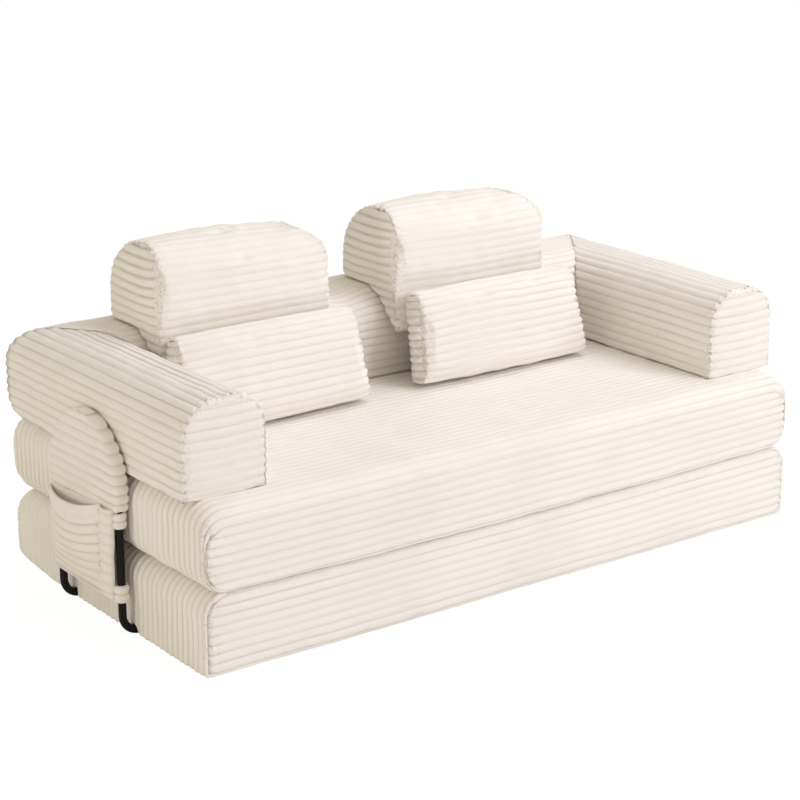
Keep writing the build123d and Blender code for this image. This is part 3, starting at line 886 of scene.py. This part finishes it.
@dataclass
class Mattress(Padded):
    """A mattress: ribs over the top, down both ends and underneath, and a panel at the front and rear."""

    steps: Steps = ((12, 7), (42, RIB_CELLS), (7, RIB_CELLS))
    end_round: float = 56.0
    base_end_round: float = 56.0
    corner_round: float = 7.0  # seen from above
    front_top_round: float = 44.0
    front_base_round: float = 6.0
    rear_round: float = 38.0
    rear_base_round: float = 38.0
    rear_corner_round: float = 0.0  # added to the ends' lower edges towards the rear
    rear_corner_start: float = 100.0
    crown: float = 3.0  # of the front and rear panels
    end_depth: float = 0.35  # how much deeper the ribs are at the ends
    end_reach: float = 30.0
    seat_flatness: float = 0.25  # how much flatter they are on the seat
    seat_reach: float = 90.0
    seam_z: float = 194.75
    seam_reach: float = 95.0  # up and down from the front seam
    sag_start: float = -330.0  # where the front's sag has grown to a half
    sag_ramp: float = 40.0
    edge_cells: float = 0.12
    edge_share: float = 0.028

    def form(self, cells: Cells) -> Form:
        """Place the block's points on the mattress."""
        low, high = node_box(self.stands_for[0])
        base, top = low[2], high[2]
        _, j, k = cells.at
        u, v, w = cells.shares
        front, rear = -MATTRESS_HALF_DEPTH, MATTRESS_HALF_DEPTH
        path = Path(
            [(front, top - self.front_top_round), (front, top), (rear, top), (rear, top - self.rear_round)],
            [self.front_top_round, self.rear_round],
        )
        y, crest = path.along(v).T
        floor = base + dip(y - front, self.front_base_round) + dip(rear - y, self.rear_base_round)
        half = high[0] - dip(y - front, self.corner_round) - dip(rear - y, self.corner_round)
        room = (crest - floor) / 2 - 2
        crowded = self.crowd(u)
        rearward = within((y - self.rear_corner_start) / (rear - self.rear_corner_start))
        base_round = self.base_end_round + self.rear_corner_round * rearward**2
        rounds = np.minimum(base_round, room), np.minimum(self.end_round, room)
        x, z = ring_section(crowded, w, half, floor, crest, *rounds).T
        cap, in_front = cells.cap(1), j == 0
        bulge = cells.outward(1) * self.crown * dome(w) * dome(crowded, 8)
        start = base + np.where(in_front, self.front_base_round, self.rear_base_round)
        stop = top - np.where(in_front, self.front_top_round, self.rear_round)
        rear_rows = round(((top - self.rear_round) - (base + self.rear_base_round)) / RIB_PITCH)
        rows = np.where(in_front, self.ribs_up, rear_rows)
        ribs = np.where(cap, (z - start) / (stop - start) * rows, j / RIB_CELLS)
        from_end = half - np.abs(x)
        past_round = np.maximum(from_end - 0.3 * self.end_round, 0) * ~cells.ends(0)
        seam = np.where(cap, from_end, np.hypot(np.minimum(y - front, rear - y), 2 * past_round))
        deep = 1 + self.end_depth * np.exp(-np.maximum(from_end, 0) / self.end_reach)
        seat = (k == cells.counts[2]) * within(from_end / self.seat_reach - 0.3)
        return Form(columns(x, y + bulge, z), ribs, seam, deep - self.seat_flatness * seat)

    def settle(self, points: Array) -> Array:
        """Let the front seam sag in the middle, and keep the zip's recess clear."""
        settled = points.copy()
        near_seam = np.exp(-(((points[:, 2] - self.seam_z) / self.seam_reach) ** 2))
        near_front = 1 / (1 + np.exp((points[:, 1] - self.sag_start) / self.sag_ramp))
        settled[:, 2] -= seam_sag(settled[:, 0]) * near_seam * near_front
        return clear_zip(settled, f"{self.body}_zip_tape")


@dataclass
class LowerMattress(Mattress):
    """The lower mattress: nearly square underneath, rounder at its rear corners, with the feet under it."""

    steps: Steps = ((12, 7), (42, RIB_CELLS), (8, RIB_CELLS))
    base_end_round: float = 9.0
    front_top_round: float = 6.0
    front_base_round: float = 9.0
    rear_base_round: float = 24.0
    rear_corner_round: float = 34.0
    floor_gap: float = 0.3

    def settle(self, points: Array) -> Array:
        """Let it sag as its pair does, over the feet and never below the floor."""
        settled = super().settle(points)
        settled[:, 2] = np.maximum(clear_feet(settled), self.floor_gap)
        return settled


@dataclass
class Arm(Padded):
    """An arm: ribs along it, a panel ribbed across at its front, and a mitre at its rear."""

    steps: Steps = ((2, 10), (6, 8), (12, RIB_CELLS))
    panel_ribs: int = 10
    crown: float = 7.0  # of the front panel

    def form(self, cells: Cells) -> Form:
        """Place the block's points on the right arm."""
        low, high = node_box("right_arm_cover", "right_arm_end_panel")
        back_low, back_high = node_box("back_cover")
        i, j, k = cells.at
        u, v, w = cells.shares
        column = Path([(0, low[2]), (0, high[2]), (ARM_ROUND, high[2])], [ARM_ROUND])
        inward, z = column.along(w).T
        left, right = low[0] + inward, high[0] - inward
        x = left + (right - left) * u
        slope = (back_high[1] - back_low[1]) / (high[0] - low[0])
        rear_dip = dip(high[2] - z, BACK_REAR_ROUND) + dip(z - low[2], BACK_BASE_ROUND)
        end = np.minimum(back_low[1] + (x - low[0]) * slope, back_high[1] - rear_dip)
        y = low[1] + (end - low[1]) * np.interp(v, [0, 0.25, 1], [0, 0.045, 1])
        cap, panel = cells.cap(1), cells.cap(1) & (j == 0)
        share = (z - low[2]) / (high[2] - low[2])
        bulge = np.where(panel, self.crown * dome(u) * dome(share, 4), 0)
        around = np.where(cells.ends(0), k / RIB_CELLS, self.ribs_up + i / self.steps[0][1])
        ribs = np.where(cap, share * self.panel_ribs, around)
        ribs = np.where(cells.underside(0), np.nan, ribs)
        edge = np.minimum(np.minimum(x - left, right - x), high[2] - z)
        seam = np.where(panel, edge, np.minimum(y - low[1], (end - y) * 1.4 + MITRE_SEAM))
        seam = np.where(k == 0, np.maximum(seam, BASE_SEAM), seam)
        return Form(columns(x, y - bulge, z), ribs, np.abs(seam))


@dataclass
class Back(Padded):
    """The back: ribs across the sofa, upright in front, full round behind, mitred to the arms."""

    steps: Steps = ((14, 7), (4, RIB_CELLS), (13, RIB_CELLS))
    sag: float = 15.0  # between the headrests
    edge_cells: float = 0.1
    edge_share: float = 0.02

    def form(self, cells: Cells) -> Form:
        """Place the block's points on the back."""
        (_, front, base), (_, rear, top) = node_box("back_cover")
        arm_low, arm_high = node_box("right_arm_cover")
        _, j, k = cells.at
        u, v, w = cells.shares
        fore = Path([(front, base), (front, top), (front + BACK_FRONT_ROUND, top)], [BACK_FRONT_ROUND])
        aft = Path(
            [(rear - BACK_BASE_ROUND, base), (rear, base), (rear, top), (rear - BACK_REAR_ROUND, top)],
            [BACK_BASE_ROUND, BACK_REAR_ROUND],
        )
        skin = fore.along(w)
        y, z = (skin + (aft.along(w) - skin) * v[:, None]).T
        slope = (arm_high[0] - arm_low[0]) / (rear - front)
        reach = np.minimum(arm_low[0] + (y - front) * slope, arm_high[0] - dip(top - z, ARM_ROUND))
        x = (2 * self.crowd(u) - 1) * reach
        cap = cells.cap(0)
        ribs = np.where(cells.ends(1), k / RIB_CELLS, self.ribs_up + j / RIB_CELLS)
        ribs = np.where(cap | cells.underside(1), np.nan, ribs)
        seam = np.where(cap, MITRE_SEAM + 2, reach - np.abs(x) + MITRE_SEAM)
        seam = np.where(k == 0, np.maximum(seam, BASE_SEAM), seam)
        return Form(columns(x, y, z), ribs, np.abs(seam))

    def settle(self, points: Array) -> Array:
        """Let the top sag between the headrests, and keep the zip's recess clear."""
        low, high = node_box("back_cover")
        left = node_box("left_headrest_end_panels")[1][0]
        right = node_box("right_headrest_end_panels")[0][0]
        from_middle = np.abs(points[:, 0] - (left + right) / 2) / ((right - left) / 2)
        across = np.cos(within(from_middle) * math.pi / 2) ** 2
        height = within((points[:, 2] - low[2]) / (high[2] - low[2]))
        settled = points.copy()
        settled[:, 2] -= self.sag * across * height**3
        return clear_zip(settled, "back_zip_tape")


@dataclass
class Headrest(Padded):
    """A headrest that hooks over the back: ribs across it, and end panels ribbed front to back."""

    steps: Steps = ((10, 6), (2, 8), (16, RIB_CELLS))
    left_top: float = 1.0  # above the frame's headrest, at the left end
    right_top: float = -6.0
    corner_width: float = 96.0  # of the big round corner at the right
    corner_height: float = 88.0
    left_round: float = 56.0
    right_round: float = 70.0
    fork_round: float = 30.0  # where the leg meets the front
    hook_round: float = 18.0  # of the hook's base at the rear
    nose: float = 43.5  # ahead of the back
    swing: float = 40.0
    leg_length: float = 93.0
    leg_thickness: float = 37.0
    crown: float = 9.0  # of the end panels and of the leg's end
    belly: float = 5.0  # of the front and of the top
    shift: float = 7.0  # to the right of the frame's headrest
    hold: float = 45.0  # the height over which the cage's hold fades
    panel_depth: float = 1.6  # the ribs' depth on the end panels, as a share
    cover_depth: float = 0.6

    def held(self, points: Array) -> Array:
        """Hold the hook where it lies on the back."""
        _, back_high = node_box("back_cover")
        return within((back_high[2] + self.hold - points[:, 2]) / self.hold)

    def profile(self, v: Array, w: Array, top: float, front_round: float) -> tuple[Array, ...]:
        """Cut the headrest along the sofa's depth.

        Args:
            v: Shares from the front skin to the rear one.
            w: Shares from the leg's end up to the crown.
            top: The crown's height.
            front_round: The radius of its front edge.

        Returns:
            The points, those of the front skin and of the rear skin beside them, and the length
            that the rear skin still has to go from each to the crown, all along Y and Z.
        """
        _, high = node_box(*self.stands_for)
        back_low, back_high = node_box("back_cover")
        turn = math.radians(self.swing)
        bend = BACK_FRONT_ROUND + HOOK_SLIP
        heel, base = back_low[1] + BACK_FRONT_ROUND, back_high[2] + HOOK_SLIP
        up, ahead = np.array([math.sin(turn), math.cos(turn)]), np.array([-math.cos(turn), math.sin(turn)])
        inner_end = np.array([heel, base - bend]) + ahead * bend - up * self.leg_length
        outer_end = inner_end + ahead * self.leg_thickness
        front, rear = back_low[1] - self.nose, high[1]
        fork = outer_end + up * ((front - outer_end[0]) / up[0])
        crown = front + front_round
        rear_round = rear - crown - RIB_PITCH
        fore_path = Path([outer_end, fork, (front, top), (crown, top)], [self.fork_round, front_round])
        corner = inner_end + up * ((base - inner_end[1]) / up[1])
        aft_path = Path(
            [inner_end, corner, (rear, base), (rear, top), (rear - rear_round, top)],
            [bend, self.hook_round, rear_round],
        )
        heel_length = self.leg_length + bend * (math.pi / 2 - turn)
        fork_share = float(np.linalg.norm(fork - outer_end)) / fore_path.length
        base_share = fork_share + (base - fork[1]) / fore_path.length
        marks = [0, fork_share, base_share, base_share + 0.12, 1]
        lengths = [0, self.leg_length, heel_length, heel_length + rear - heel, aft_path.length]
        along = np.interp(w, marks, lengths)
        fore, aft = fore_path.along(w), aft_path.at(along)
        return fore + (aft - fore) * v[:, None], fore, aft, aft_path.length - along

    def form(self, cells: Cells) -> Form:
        """Place the block's points on the headrest."""
        low, high = node_box(*self.stands_for)
        _, back_high = node_box("back_cover")
        _, j, k = cells.at
        u, v, w = cells.shares
        crowded = self.crowd(u)
        left = self.profile(v, w, high[2] + self.left_top, self.left_round)
        right = self.profile(v, w, high[2] + self.right_top, self.right_round)
        blend = crowded[:, None]
        section, fore, aft = ((1 - blend) * a + blend * b for a, b in zip(left[:3], right[:3]))
        to_crown = (1 - crowded) * left[3] + crowded * right[3]
        y, z = section.T
        turn = math.radians(self.swing)
        toe = np.where(k == 0, self.crown * dome(v), 0)
        y, z = y - toe * math.sin(turn), z - toe * math.cos(turn)
        across = dome(crowded, 4)
        y = y - np.where(j == 0, self.belly * within((z - back_high[2] + 30) / 90) * across, 0)
        z = z + within((z - high[2] + 60) / 60) * self.belly * across
        base = back_high[2] + HOOK_SLIP
        cap = cells.cap(0)
        middle, half = (low[0] + high[0]) / 2 + self.shift, (high[0] - low[0]) / 2 + 1
        top = high[2] + (1 - crowded) * self.left_top + crowded * self.right_top
        rise = within((z - top) / self.corner_height + 1)
        pull = self.corner_width * (1 - np.sqrt(1 - rise**2)) * within((crowded - 0.45) / 0.55)
        puff = self.crown * dome(v, 4) * within((z - base + 40) / 120)
        puff *= cells.outward(0) * within((top - z) / 60)
        x = middle + (2 * crowded - 1) * half - pull + puff
        at_rear = j == cells.counts[1]
        around = np.where(at_rear, self.ribs_up + 1 + to_crown / RIB_PITCH, k / RIB_CELLS)
        around = np.where((k == cells.counts[2]) & ~cells.ends(1), self.ribs_up + v, around)
        hidden = (at_rear & (aft[:, 1] < base + 2)) | ((k == 0) & (j > 0))
        ribs = np.where(cap, (z - base + 0.4 * pull) / RIB_PITCH, np.where(hidden, np.nan, around))
        to_skin = np.minimum(np.hypot(*(section - fore).T), np.hypot(*(section - aft).T))
        edge = np.minimum(to_skin, np.abs(top - z) + 4)
        seam = np.where(cap, edge, half * (1 - np.abs(2 * crowded - 1)))
        deep = np.where(cap, self.panel_depth, self.cover_depth)
        return Form(columns(x, y, z), ribs, np.abs(seam), deep)


@dataclass
class Lumbar(Padded):
    """A lumbar pillow: crowned, thinner at its boxed ends, leaning back."""

    steps: Steps = ((10, 6), (8,), (13, RIB_CELLS))
    thickness: float = 94.0
    height: float = 249.0
    top_round: float = 40.0
    base_round: float = 14.0
    end_share: float = 0.72  # of the thickness, at the ends
    drawn_in: float = 9.0
    skew: float = 8.0  # how much narrower it is at the top, at each end
    crown: float = 6.0  # of the ends
    lean: float = 13.0
    sunk: float = 3.0  # into the seat
    hold: float = 30.0  # the height over which the cage's hold fades
    end_depth: float = 1.4  # the ribs' depth on the ends, as a share
    cover_depth: float = 0.8

    def held(self, points: Array) -> Array:
        """Hold the edge that the pillow stands on."""
        return within((points[:, 2].min() + self.hold - points[:, 2]) / self.hold)

    def form(self, cells: Cells) -> Form:
        """Place the block's points on the pillow."""
        low, high = node_box(*self.stands_for)
        u, v, w = cells.shares
        thick, tall = self.thickness / 2, self.height / 2
        column = Path(
            [(thick - self.base_round, -tall), (thick, -tall), (thick, tall), (thick - self.top_round, tall)],
            [self.base_round, self.top_round],
        )
        out, up = column.along(w).T
        crowded = self.crowd(u)
        away = np.abs(2 * crowded - 1)
        share = self.end_share + (1 - self.end_share) * np.sqrt(np.maximum(1 - away**2.2, 0))
        depth = out * share * (0.8 + 0.2 * (1 - (up / tall) ** 2))
        shrink = 1 - (1 - share) / (1 - self.end_share) * self.drawn_in / tall
        y, z = (2 * v - 1) * depth, up * shrink
        middle, half = (low + high) / 2, (high[0] - low[0]) / 2
        x = middle[0] + (2 * crowded - 1) * (half - self.skew * z / tall)
        x = x + cells.outward(0) * self.crown * dome(v) * (1 - (z / tall) ** 2)
        cap = cells.cap(0)
        tilt = math.radians(-self.lean)
        cos, sin = math.cos(tilt), math.sin(tilt)
        foot = tall * cos + thick * 0.8 * abs(sin)
        turned = [x, middle[1] + y * cos - z * sin, low[2] - self.sunk + foot + y * sin + z * cos]
        ribs = np.where(cells.ends(1) | cap, cells.at[2] / RIB_CELLS, self.ribs_up + 0.5)
        edge = np.minimum(depth - np.abs(y), tall * shrink - np.abs(z))
        seam = np.where(cap, edge, (half - 3) * (1 - away))
        deep = np.where(cap, self.end_depth, self.cover_depth)
        return Form(columns(*turned), ribs, np.abs(seam), deep)


@dataclass
class Sleeve(Padded):
    """The padded sleeve over a hoop: an arch with ribs front to back that wrap round its edges."""

    steps: Steps = ((6,), (6, 8), (9, RIB_CELLS))
    rib_depth: float = 6.5
    edge_round: float = 17.0
    least_half: float = 24.0  # of the arch's width, at its top
    hem: float = 303.0  # the height of its lower edge, above the strap
    rise: float = 4.0  # above the frame's sleeve
    waist: float = 9.0  # how much narrower it is at the hem
    waist_height: float = 26.0
    belly: float = 5.0
    droop: float = 5.0

    def form(self, cells: Cells) -> Form:
        """Place the block's points on the right sleeve."""
        low, high = node_box("right_sleeve")
        u, v, w = cells.shares
        half, middle = (high[1] - low[1]) / 2, (high[1] + low[1]) / 2
        top = high[2] + self.rise
        z = self.hem + (top - self.hem) * w
        arch = np.sqrt(np.maximum(half**2 - np.clip(z - (top - half), 0, half) ** 2, 0))
        near_hem = within((self.hem + self.waist_height - z) / self.waist_height)
        width = np.maximum(arch, self.least_half) - self.waist * near_hem**2
        puff = self.belly * arch / half
        near, edge = np.full(len(u), low[0]), np.full(len(u), self.edge_round)
        y, x = ring_section(v, u, width, near, high[0] - 2 + puff, edge, edge).T
        droop = -self.droop * (1 - (y / half) ** 2) * within(w * 4) * (1 - w)
        ribs = np.where(cells.cap(2), np.nan, cells.at[2] / RIB_CELLS)
        return Form(columns(x, middle + y, z + droop), ribs, np.full(len(u), 100.0))


@dataclass
class Pocket(Padded):
    """The pocket below a sleeve: a sagging pouch with a plain hem, and a strip of puffy rib ends."""

    steps: Steps = ((5,), (8, 8), (9, RIB_CELLS))
    rib_depth: float = 6.5
    tuck: float = 3.0
    fuzz_reach: float = 12.0
    wall: float = 5.0
    hem: float = 27.0
    strip: float = 0.17  # the share of its width beside the front leg that isn't part of the pouch
    strip_belly: float = 8.0
    strip_base: float = 11.0
    pouch_edge: float = 10.0  # how far the pouch's edges stand off the hoop
    mouth_rise: float = 12.0  # of the mouth's front end, above the frame's pocket
    mouth_slope: float = 19.0
    mouth_sag: float = 17.0

    def form(self, cells: Cells) -> Form:
        """Place the block's points on the right pocket."""
        low, high = node_box("right_pocket")
        i, _, k = cells.at
        u, v, w = cells.shares
        in_pouch = v > self.strip
        pouch = within((v - self.strip) / (1 - self.strip))
        half = (high[1] - low[1]) / 2 + 5 + 6 * w
        mouth = high[2] + self.mouth_rise - self.mouth_slope * pouch
        z = low[2] + (mouth - low[2]) * w
        full = np.interp(w, [0, 0.1, 0.45, 0.8, 1], [9, 19, 34, 33, 30])
        puff = self.strip_base + self.strip_belly * np.sin(math.pi * within(v / self.strip))
        belly = self.pouch_edge + (full - self.pouch_edge) * dome(pouch, 2.6)
        out = np.where(in_pouch, belly, puff)
        out = np.minimum(out, 9 + 40 * w + 30 * (1 - w) * within(w * 8))
        near, inner_round, outer_round = (np.full(len(u), size) for size in (low[0], 1.5, 5.5))
        y, x = ring_section(v, u, half, near, low[0] + np.maximum(out, 8), inner_round, outer_round).T
        sag = -self.mouth_sag * dome(pouch) * within(w * 1.6) * in_pouch
        sag = sag * within((x - low[0]) / 12) - 3 * within(1 - v / self.strip)
        plain = ((mouth - z < self.hem) & in_pouch) | (i == 0) | (k == 0)
        ribs = np.where(plain, np.nan, k / RIB_CELLS + 0.5 * (v < self.strip))
        seam = np.where(i == cells.counts[0], np.abs(v - self.strip) * 2 * half, 100.0)
        return Form(columns(x, (low[1] + high[1]) / 2 + y, z + sag), ribs, seam)

    def finish_mesh(self, piece: Object) -> None:
        """Open the pouch's top and give it its wall."""
        select_only(piece)
        lid = piece.data.attributes["lid"].data
        for part in (piece.data.vertices, piece.data.edges, piece.data.polygons):
            part.foreach_set("select", [False] * len(part))
        for face in piece.data.polygons:
            face.select = all(lid[index].value > 0.5 for index in face.vertices)
        bpy.ops.object.mode_set(mode="EDIT")
        bpy.ops.mesh.select_mode(type="FACE")
        bpy.ops.mesh.delete(type="FACE")
        bpy.ops.object.mode_set(mode="OBJECT")
        wall = piece.modifiers.new("wall", "SOLIDIFY")
        wall.thickness = self.wall * MM
        wall.offset = -1
        bpy.ops.object.modifier_apply(modifier=wall.name)


@dataclass
class Strap(Piece):
    """A two-ribbed corduroy strap that loops round both legs of a hoop."""

    low: float
    high: float
    side: Side
    ribs: int = 2
    thickness: float = 5.5
    edge_round: float = 2.5
    puff: float = 2.0
    rib_depth: float = 3.0
    clearance: float = 0.5
    waviness: float = 0.8
    curliness: float = 0.25  # of its pile, which also sets its painted flecks of shade
    turns: int = 96  # points round the hoop's legs
    rounding: int = 28  # points round the strap's own section
    fill = 0.3

    def shape(self) -> Object:
        """Bend a torus into the strap's slot shape and raise its ribs."""
        deselect()
        bpy.ops.mesh.primitive_torus_add(major_segments=self.turns, minor_segments=self.rounding)
        piece = named_object(self.name)
        low, high = node_box("right_hoop_tube")
        front, rear = low[1] + TUBE_RADIUS, high[1] - TUBE_RADIUS
        index = np.arange(self.turns * self.rounding)
        turn, cut = index // self.rounding / self.turns, index % self.rounding / self.rounding
        thick, tall = self.thickness / 2, (self.high - self.low) / 2
        reach = TUBE_RADIUS + self.clearance + thick
        far = rear - front + 2 * reach
        slot = Path([(0, 0), (reach, 0), (reach, far), (-reach, far), (-reach, 0), (0, 0)], [reach] * 4)
        place = slot.along(turn)
        step = slot.along((turn + 0.001) % 1) - place
        out = columns(step[:, 1], -step[:, 0]) / np.linalg.norm(step, axis=1, keepdims=True)
        section = Path(
            [(0, -tall), (thick, -tall), (thick, tall), (-thick, tall), (-thick, -tall), (0, -tall)],
            [self.edge_round] * 4,
        )
        off, up = section.along(cut).T
        rib = rib_shape((up + tall) / (2 * tall) * self.ribs)
        off = off + np.where(off > 0, self.puff - self.rib_depth * rib, 0)
        wander = self.waviness * ripple(columns(place[:, 0], place[:, 1], up), 60, 71)
        x = high[0] - TUBE_RADIUS + place[:, 0] + out[:, 0] * off
        y = front - reach + place[:, 1] + out[:, 1] * off
        z = (self.low + self.high) / 2 + up + wander
        write_points(piece, columns(self.side.value * x, y, z))
        edit_whole()
        bpy.ops.mesh.normals_make_consistent(inside=False)
        deselect()
        # The rib attribute marks the strap's grooves, where the corduroy paints its shade.
        put_attribute(piece, "rib", np.where(off > 0, rib, 0))
        put_attribute(piece, "seam", np.full(len(index), self.curliness))
        return piece


@dataclass
class Piping(Piece):
    """The thin piping in the front seam, which sags with the seam."""

    parts: int = 60
    rounding: int = 12
    slot = "seam_welt"
    fill = 0.0

    def shape(self) -> Object:
        """Cut a cylinder into parts and let it sag."""
        low, high = node_box(*self.stands_for)
        deselect()
        bpy.ops.mesh.primitive_cylinder_add(
            vertices=self.rounding, radius=(high[2] - low[2]) / 2, depth=high[0] - low[0]
        )
        piece = named_object(self.name)
        bpy.ops.object.mode_set(mode="EDIT")
        bpy.ops.mesh.select_mode(type="EDGE")
        subdivide_along(piece, 2, self.parts)
        deselect()
        across, up, along = read_points(piece.data).T
        middle = (low + high) / 2
        x = middle[0] + along
        write_points(piece, columns(x, middle[1] + across, middle[2] + up - seam_sag(x)))
        return piece


# Stage


def stage_scene() -> None:
    """Add the pale floor, the soft studio light and the camera at the photograph's angle."""
    scene = bpy.context.scene
    scene.view_settings.view_transform = "Standard"
    scene.world = bpy.data.worlds.new("studio")
    light_studio(Shader(scene.world))

    deselect()
    bpy.ops.mesh.primitive_plane_add(size=24)
    floor = bpy.context.object
    floor.name = "studio_floor"
    floor.data.materials.append(paper_floor(Shader(bpy.data.materials.new("studio_floor"))))

    add_lamp("key", (3.0, -5.4, 3.4), 3.4, 188, "#ECEDFF")
    add_lamp("top", (1.9, -0.4, 4.4), 3.2, 64, "#F2F2FF")
    add_lamp("fill", (-4.6, -0.6, 0.5), 0.8, 22, "#FAF4E8")

    camera_data = bpy.data.cameras.new("camera")
    camera = bpy.data.objects.new("camera", camera_data)
    scene.collection.objects.link(camera)
    camera.location = (-3.21567, -4.29623, 2.04297)
    camera.rotation_euler = (math.radians(72.66), 0, math.radians(-36.51))
    camera_data.lens = 99.84
    camera_data.sensor_width = 36
    camera_data.clip_end = 100
    scene.camera = camera


def light_studio(shader: Shader) -> None:
    """Light the world softly, and show it white to the camera and in reflections."""
    rays = shader.add("LightPath").outputs
    seen = shader.math("MAXIMUM", rays["Is Camera Ray"], rays["Is Glossy Ray"])
    seen = shader.math("MAXIMUM", seen, rays["Is Transmission Ray"])
    ambient = shader.add("Background", {"Color": linear("#F8F2E6"), "Strength": 0.61}).outputs[0]
    white = shader.add("Background", {"Color": (1, 1, 1, 1), "Strength": 1.0}).outputs[0]
    mixed = shader.add("MixShader", {0: seen, 1: ambient, 2: white}).outputs[0]
    shader.add("OutputWorld", {"Surface": mixed})


def paper_floor(shader: Shader) -> Material:
    """White paper that glows a little to the camera, as an overexposed backdrop does."""
    camera_ray = shader.add("LightPath").outputs["Is Camera Ray"]
    paper = shader.add("BsdfDiffuse", {"Color": linear("#F2F1EE")}).outputs[0]
    glow = shader.add("Emission", {"Color": (1, 1, 1, 1), "Strength": 1.09}).outputs[0]
    share = shader.math("MULTIPLY", camera_ray, 0.86)
    mixed = shader.add("MixShader", {0: share, 1: paper, 2: glow}).outputs[0]
    shader.add("OutputMaterial", {"Surface": mixed})
    return shader.owner


def add_lamp(name: str, place: tuple[float, float, float], size: float, power: float, colour: str) -> None:
    """Add a square lamp that faces the sofa's middle."""
    data = bpy.data.lights.new(name, "AREA")
    data.color = linear(colour)[:3]
    data.shape = "SQUARE"
    data.size = size
    data.energy = power
    lamp = bpy.data.objects.new(name, data)
    bpy.context.scene.collection.objects.link(lamp)
    lamp.location = place
    aim = Vector((0, 0, 0.35)) - Vector(place)
    lamp.rotation_euler = aim.to_track_quat("-Z", "Y").to_euler()


# The whole sofa


def finish_frame(cloth: Material, finishes: dict[str, Material]) -> None:
    """Give the frame's own pieces their materials.

    Args:
        cloth: The corduroy, for each slot that has no other finish.
        finishes: The other materials by slot.
    """
    slots = {part["node"]: part["material_slot"] for part in frame["record"]["subparts"]}
    for node, piece in frame["nodes"].items():
        material = finishes.get(slots[node], cloth)
        if slots[node] == "zip_tape":
            low, high = node_box(node)
            material = ZipTape().make((low[2] + high[2]) / 2)
        piece.data.materials.clear()
        piece.data.materials.append(material)


def build_side(side: Side, cloth: Material) -> None:
    """Build the padded pieces of one side.

    Args:
        side: Which side.
        cloth: Their material.
    """
    names, number = side.names, side.value
    headrest, lumbar, hoop = names("headrest", "lumbar", "hoop")
    arm, pillow, sleeve, pocket, upper, lower = names(
        "arm", "lumbar_pillow", "padded_sleeve", "side_pocket", "upper_strap", "lower_strap"
    )
    arm_nodes = names("arm_cover", "arm_foam", "arm_end_panel")
    headrest_nodes = names("headrest_cover", "headrest_foam", "headrest_end_panels")
    left_top = 6.0 if side is Side.LEFT else 1.0
    pieces = (
        Arm(arm, "surround", arm_nodes, 20 + number, side=side),
        Headrest(headrest, headrest, headrest_nodes, 30 + number, pressure=3.0, left_top=left_top),
        Lumbar(pillow, lumbar, names("lumbar_cover", "lumbar_filling"), 40 + number, pressure=2.5),
        Sleeve(sleeve, hoop, names("sleeve"), 50 + number, side=side),
        Pocket(pocket, hoop, names("pocket"), 60 + number, side=side),
        Strap(upper, hoop, (), 266.0, 305.0, side),
        Strap(lower, hoop, names("lower_band"), 86.0, 130.0, side),
    )
    for piece in pieces:
        piece.build(cloth)


def main() -> None:
    """Build the sofa's looks, piece by piece."""
    logging.basicConfig(level=logging.INFO, format="%(name)s %(message)s")
    cloth = Corduroy().make()
    finishes = {slot: finish.make() for slot, finish in FINISHES.items()}
    finish_frame(cloth, finishes)

    for name, kind, seed in (("lower_mattress", LowerMattress, 3), ("upper_mattress", Mattress, 7)):
        kind(name, name, (f"{name}_cover", f"{name}_foam"), seed).build(cloth)
    Back("back", "surround", ("back_cover", "back_foam"), 13).build(cloth)
    for side in Side:
        build_side(side, cloth)
    Piping("seam_piping", "lower_mattress", ("hinge_welt",)).build(finishes["seam_welt"])

    stage_scene()


if __name__ == "__main__":
    main()
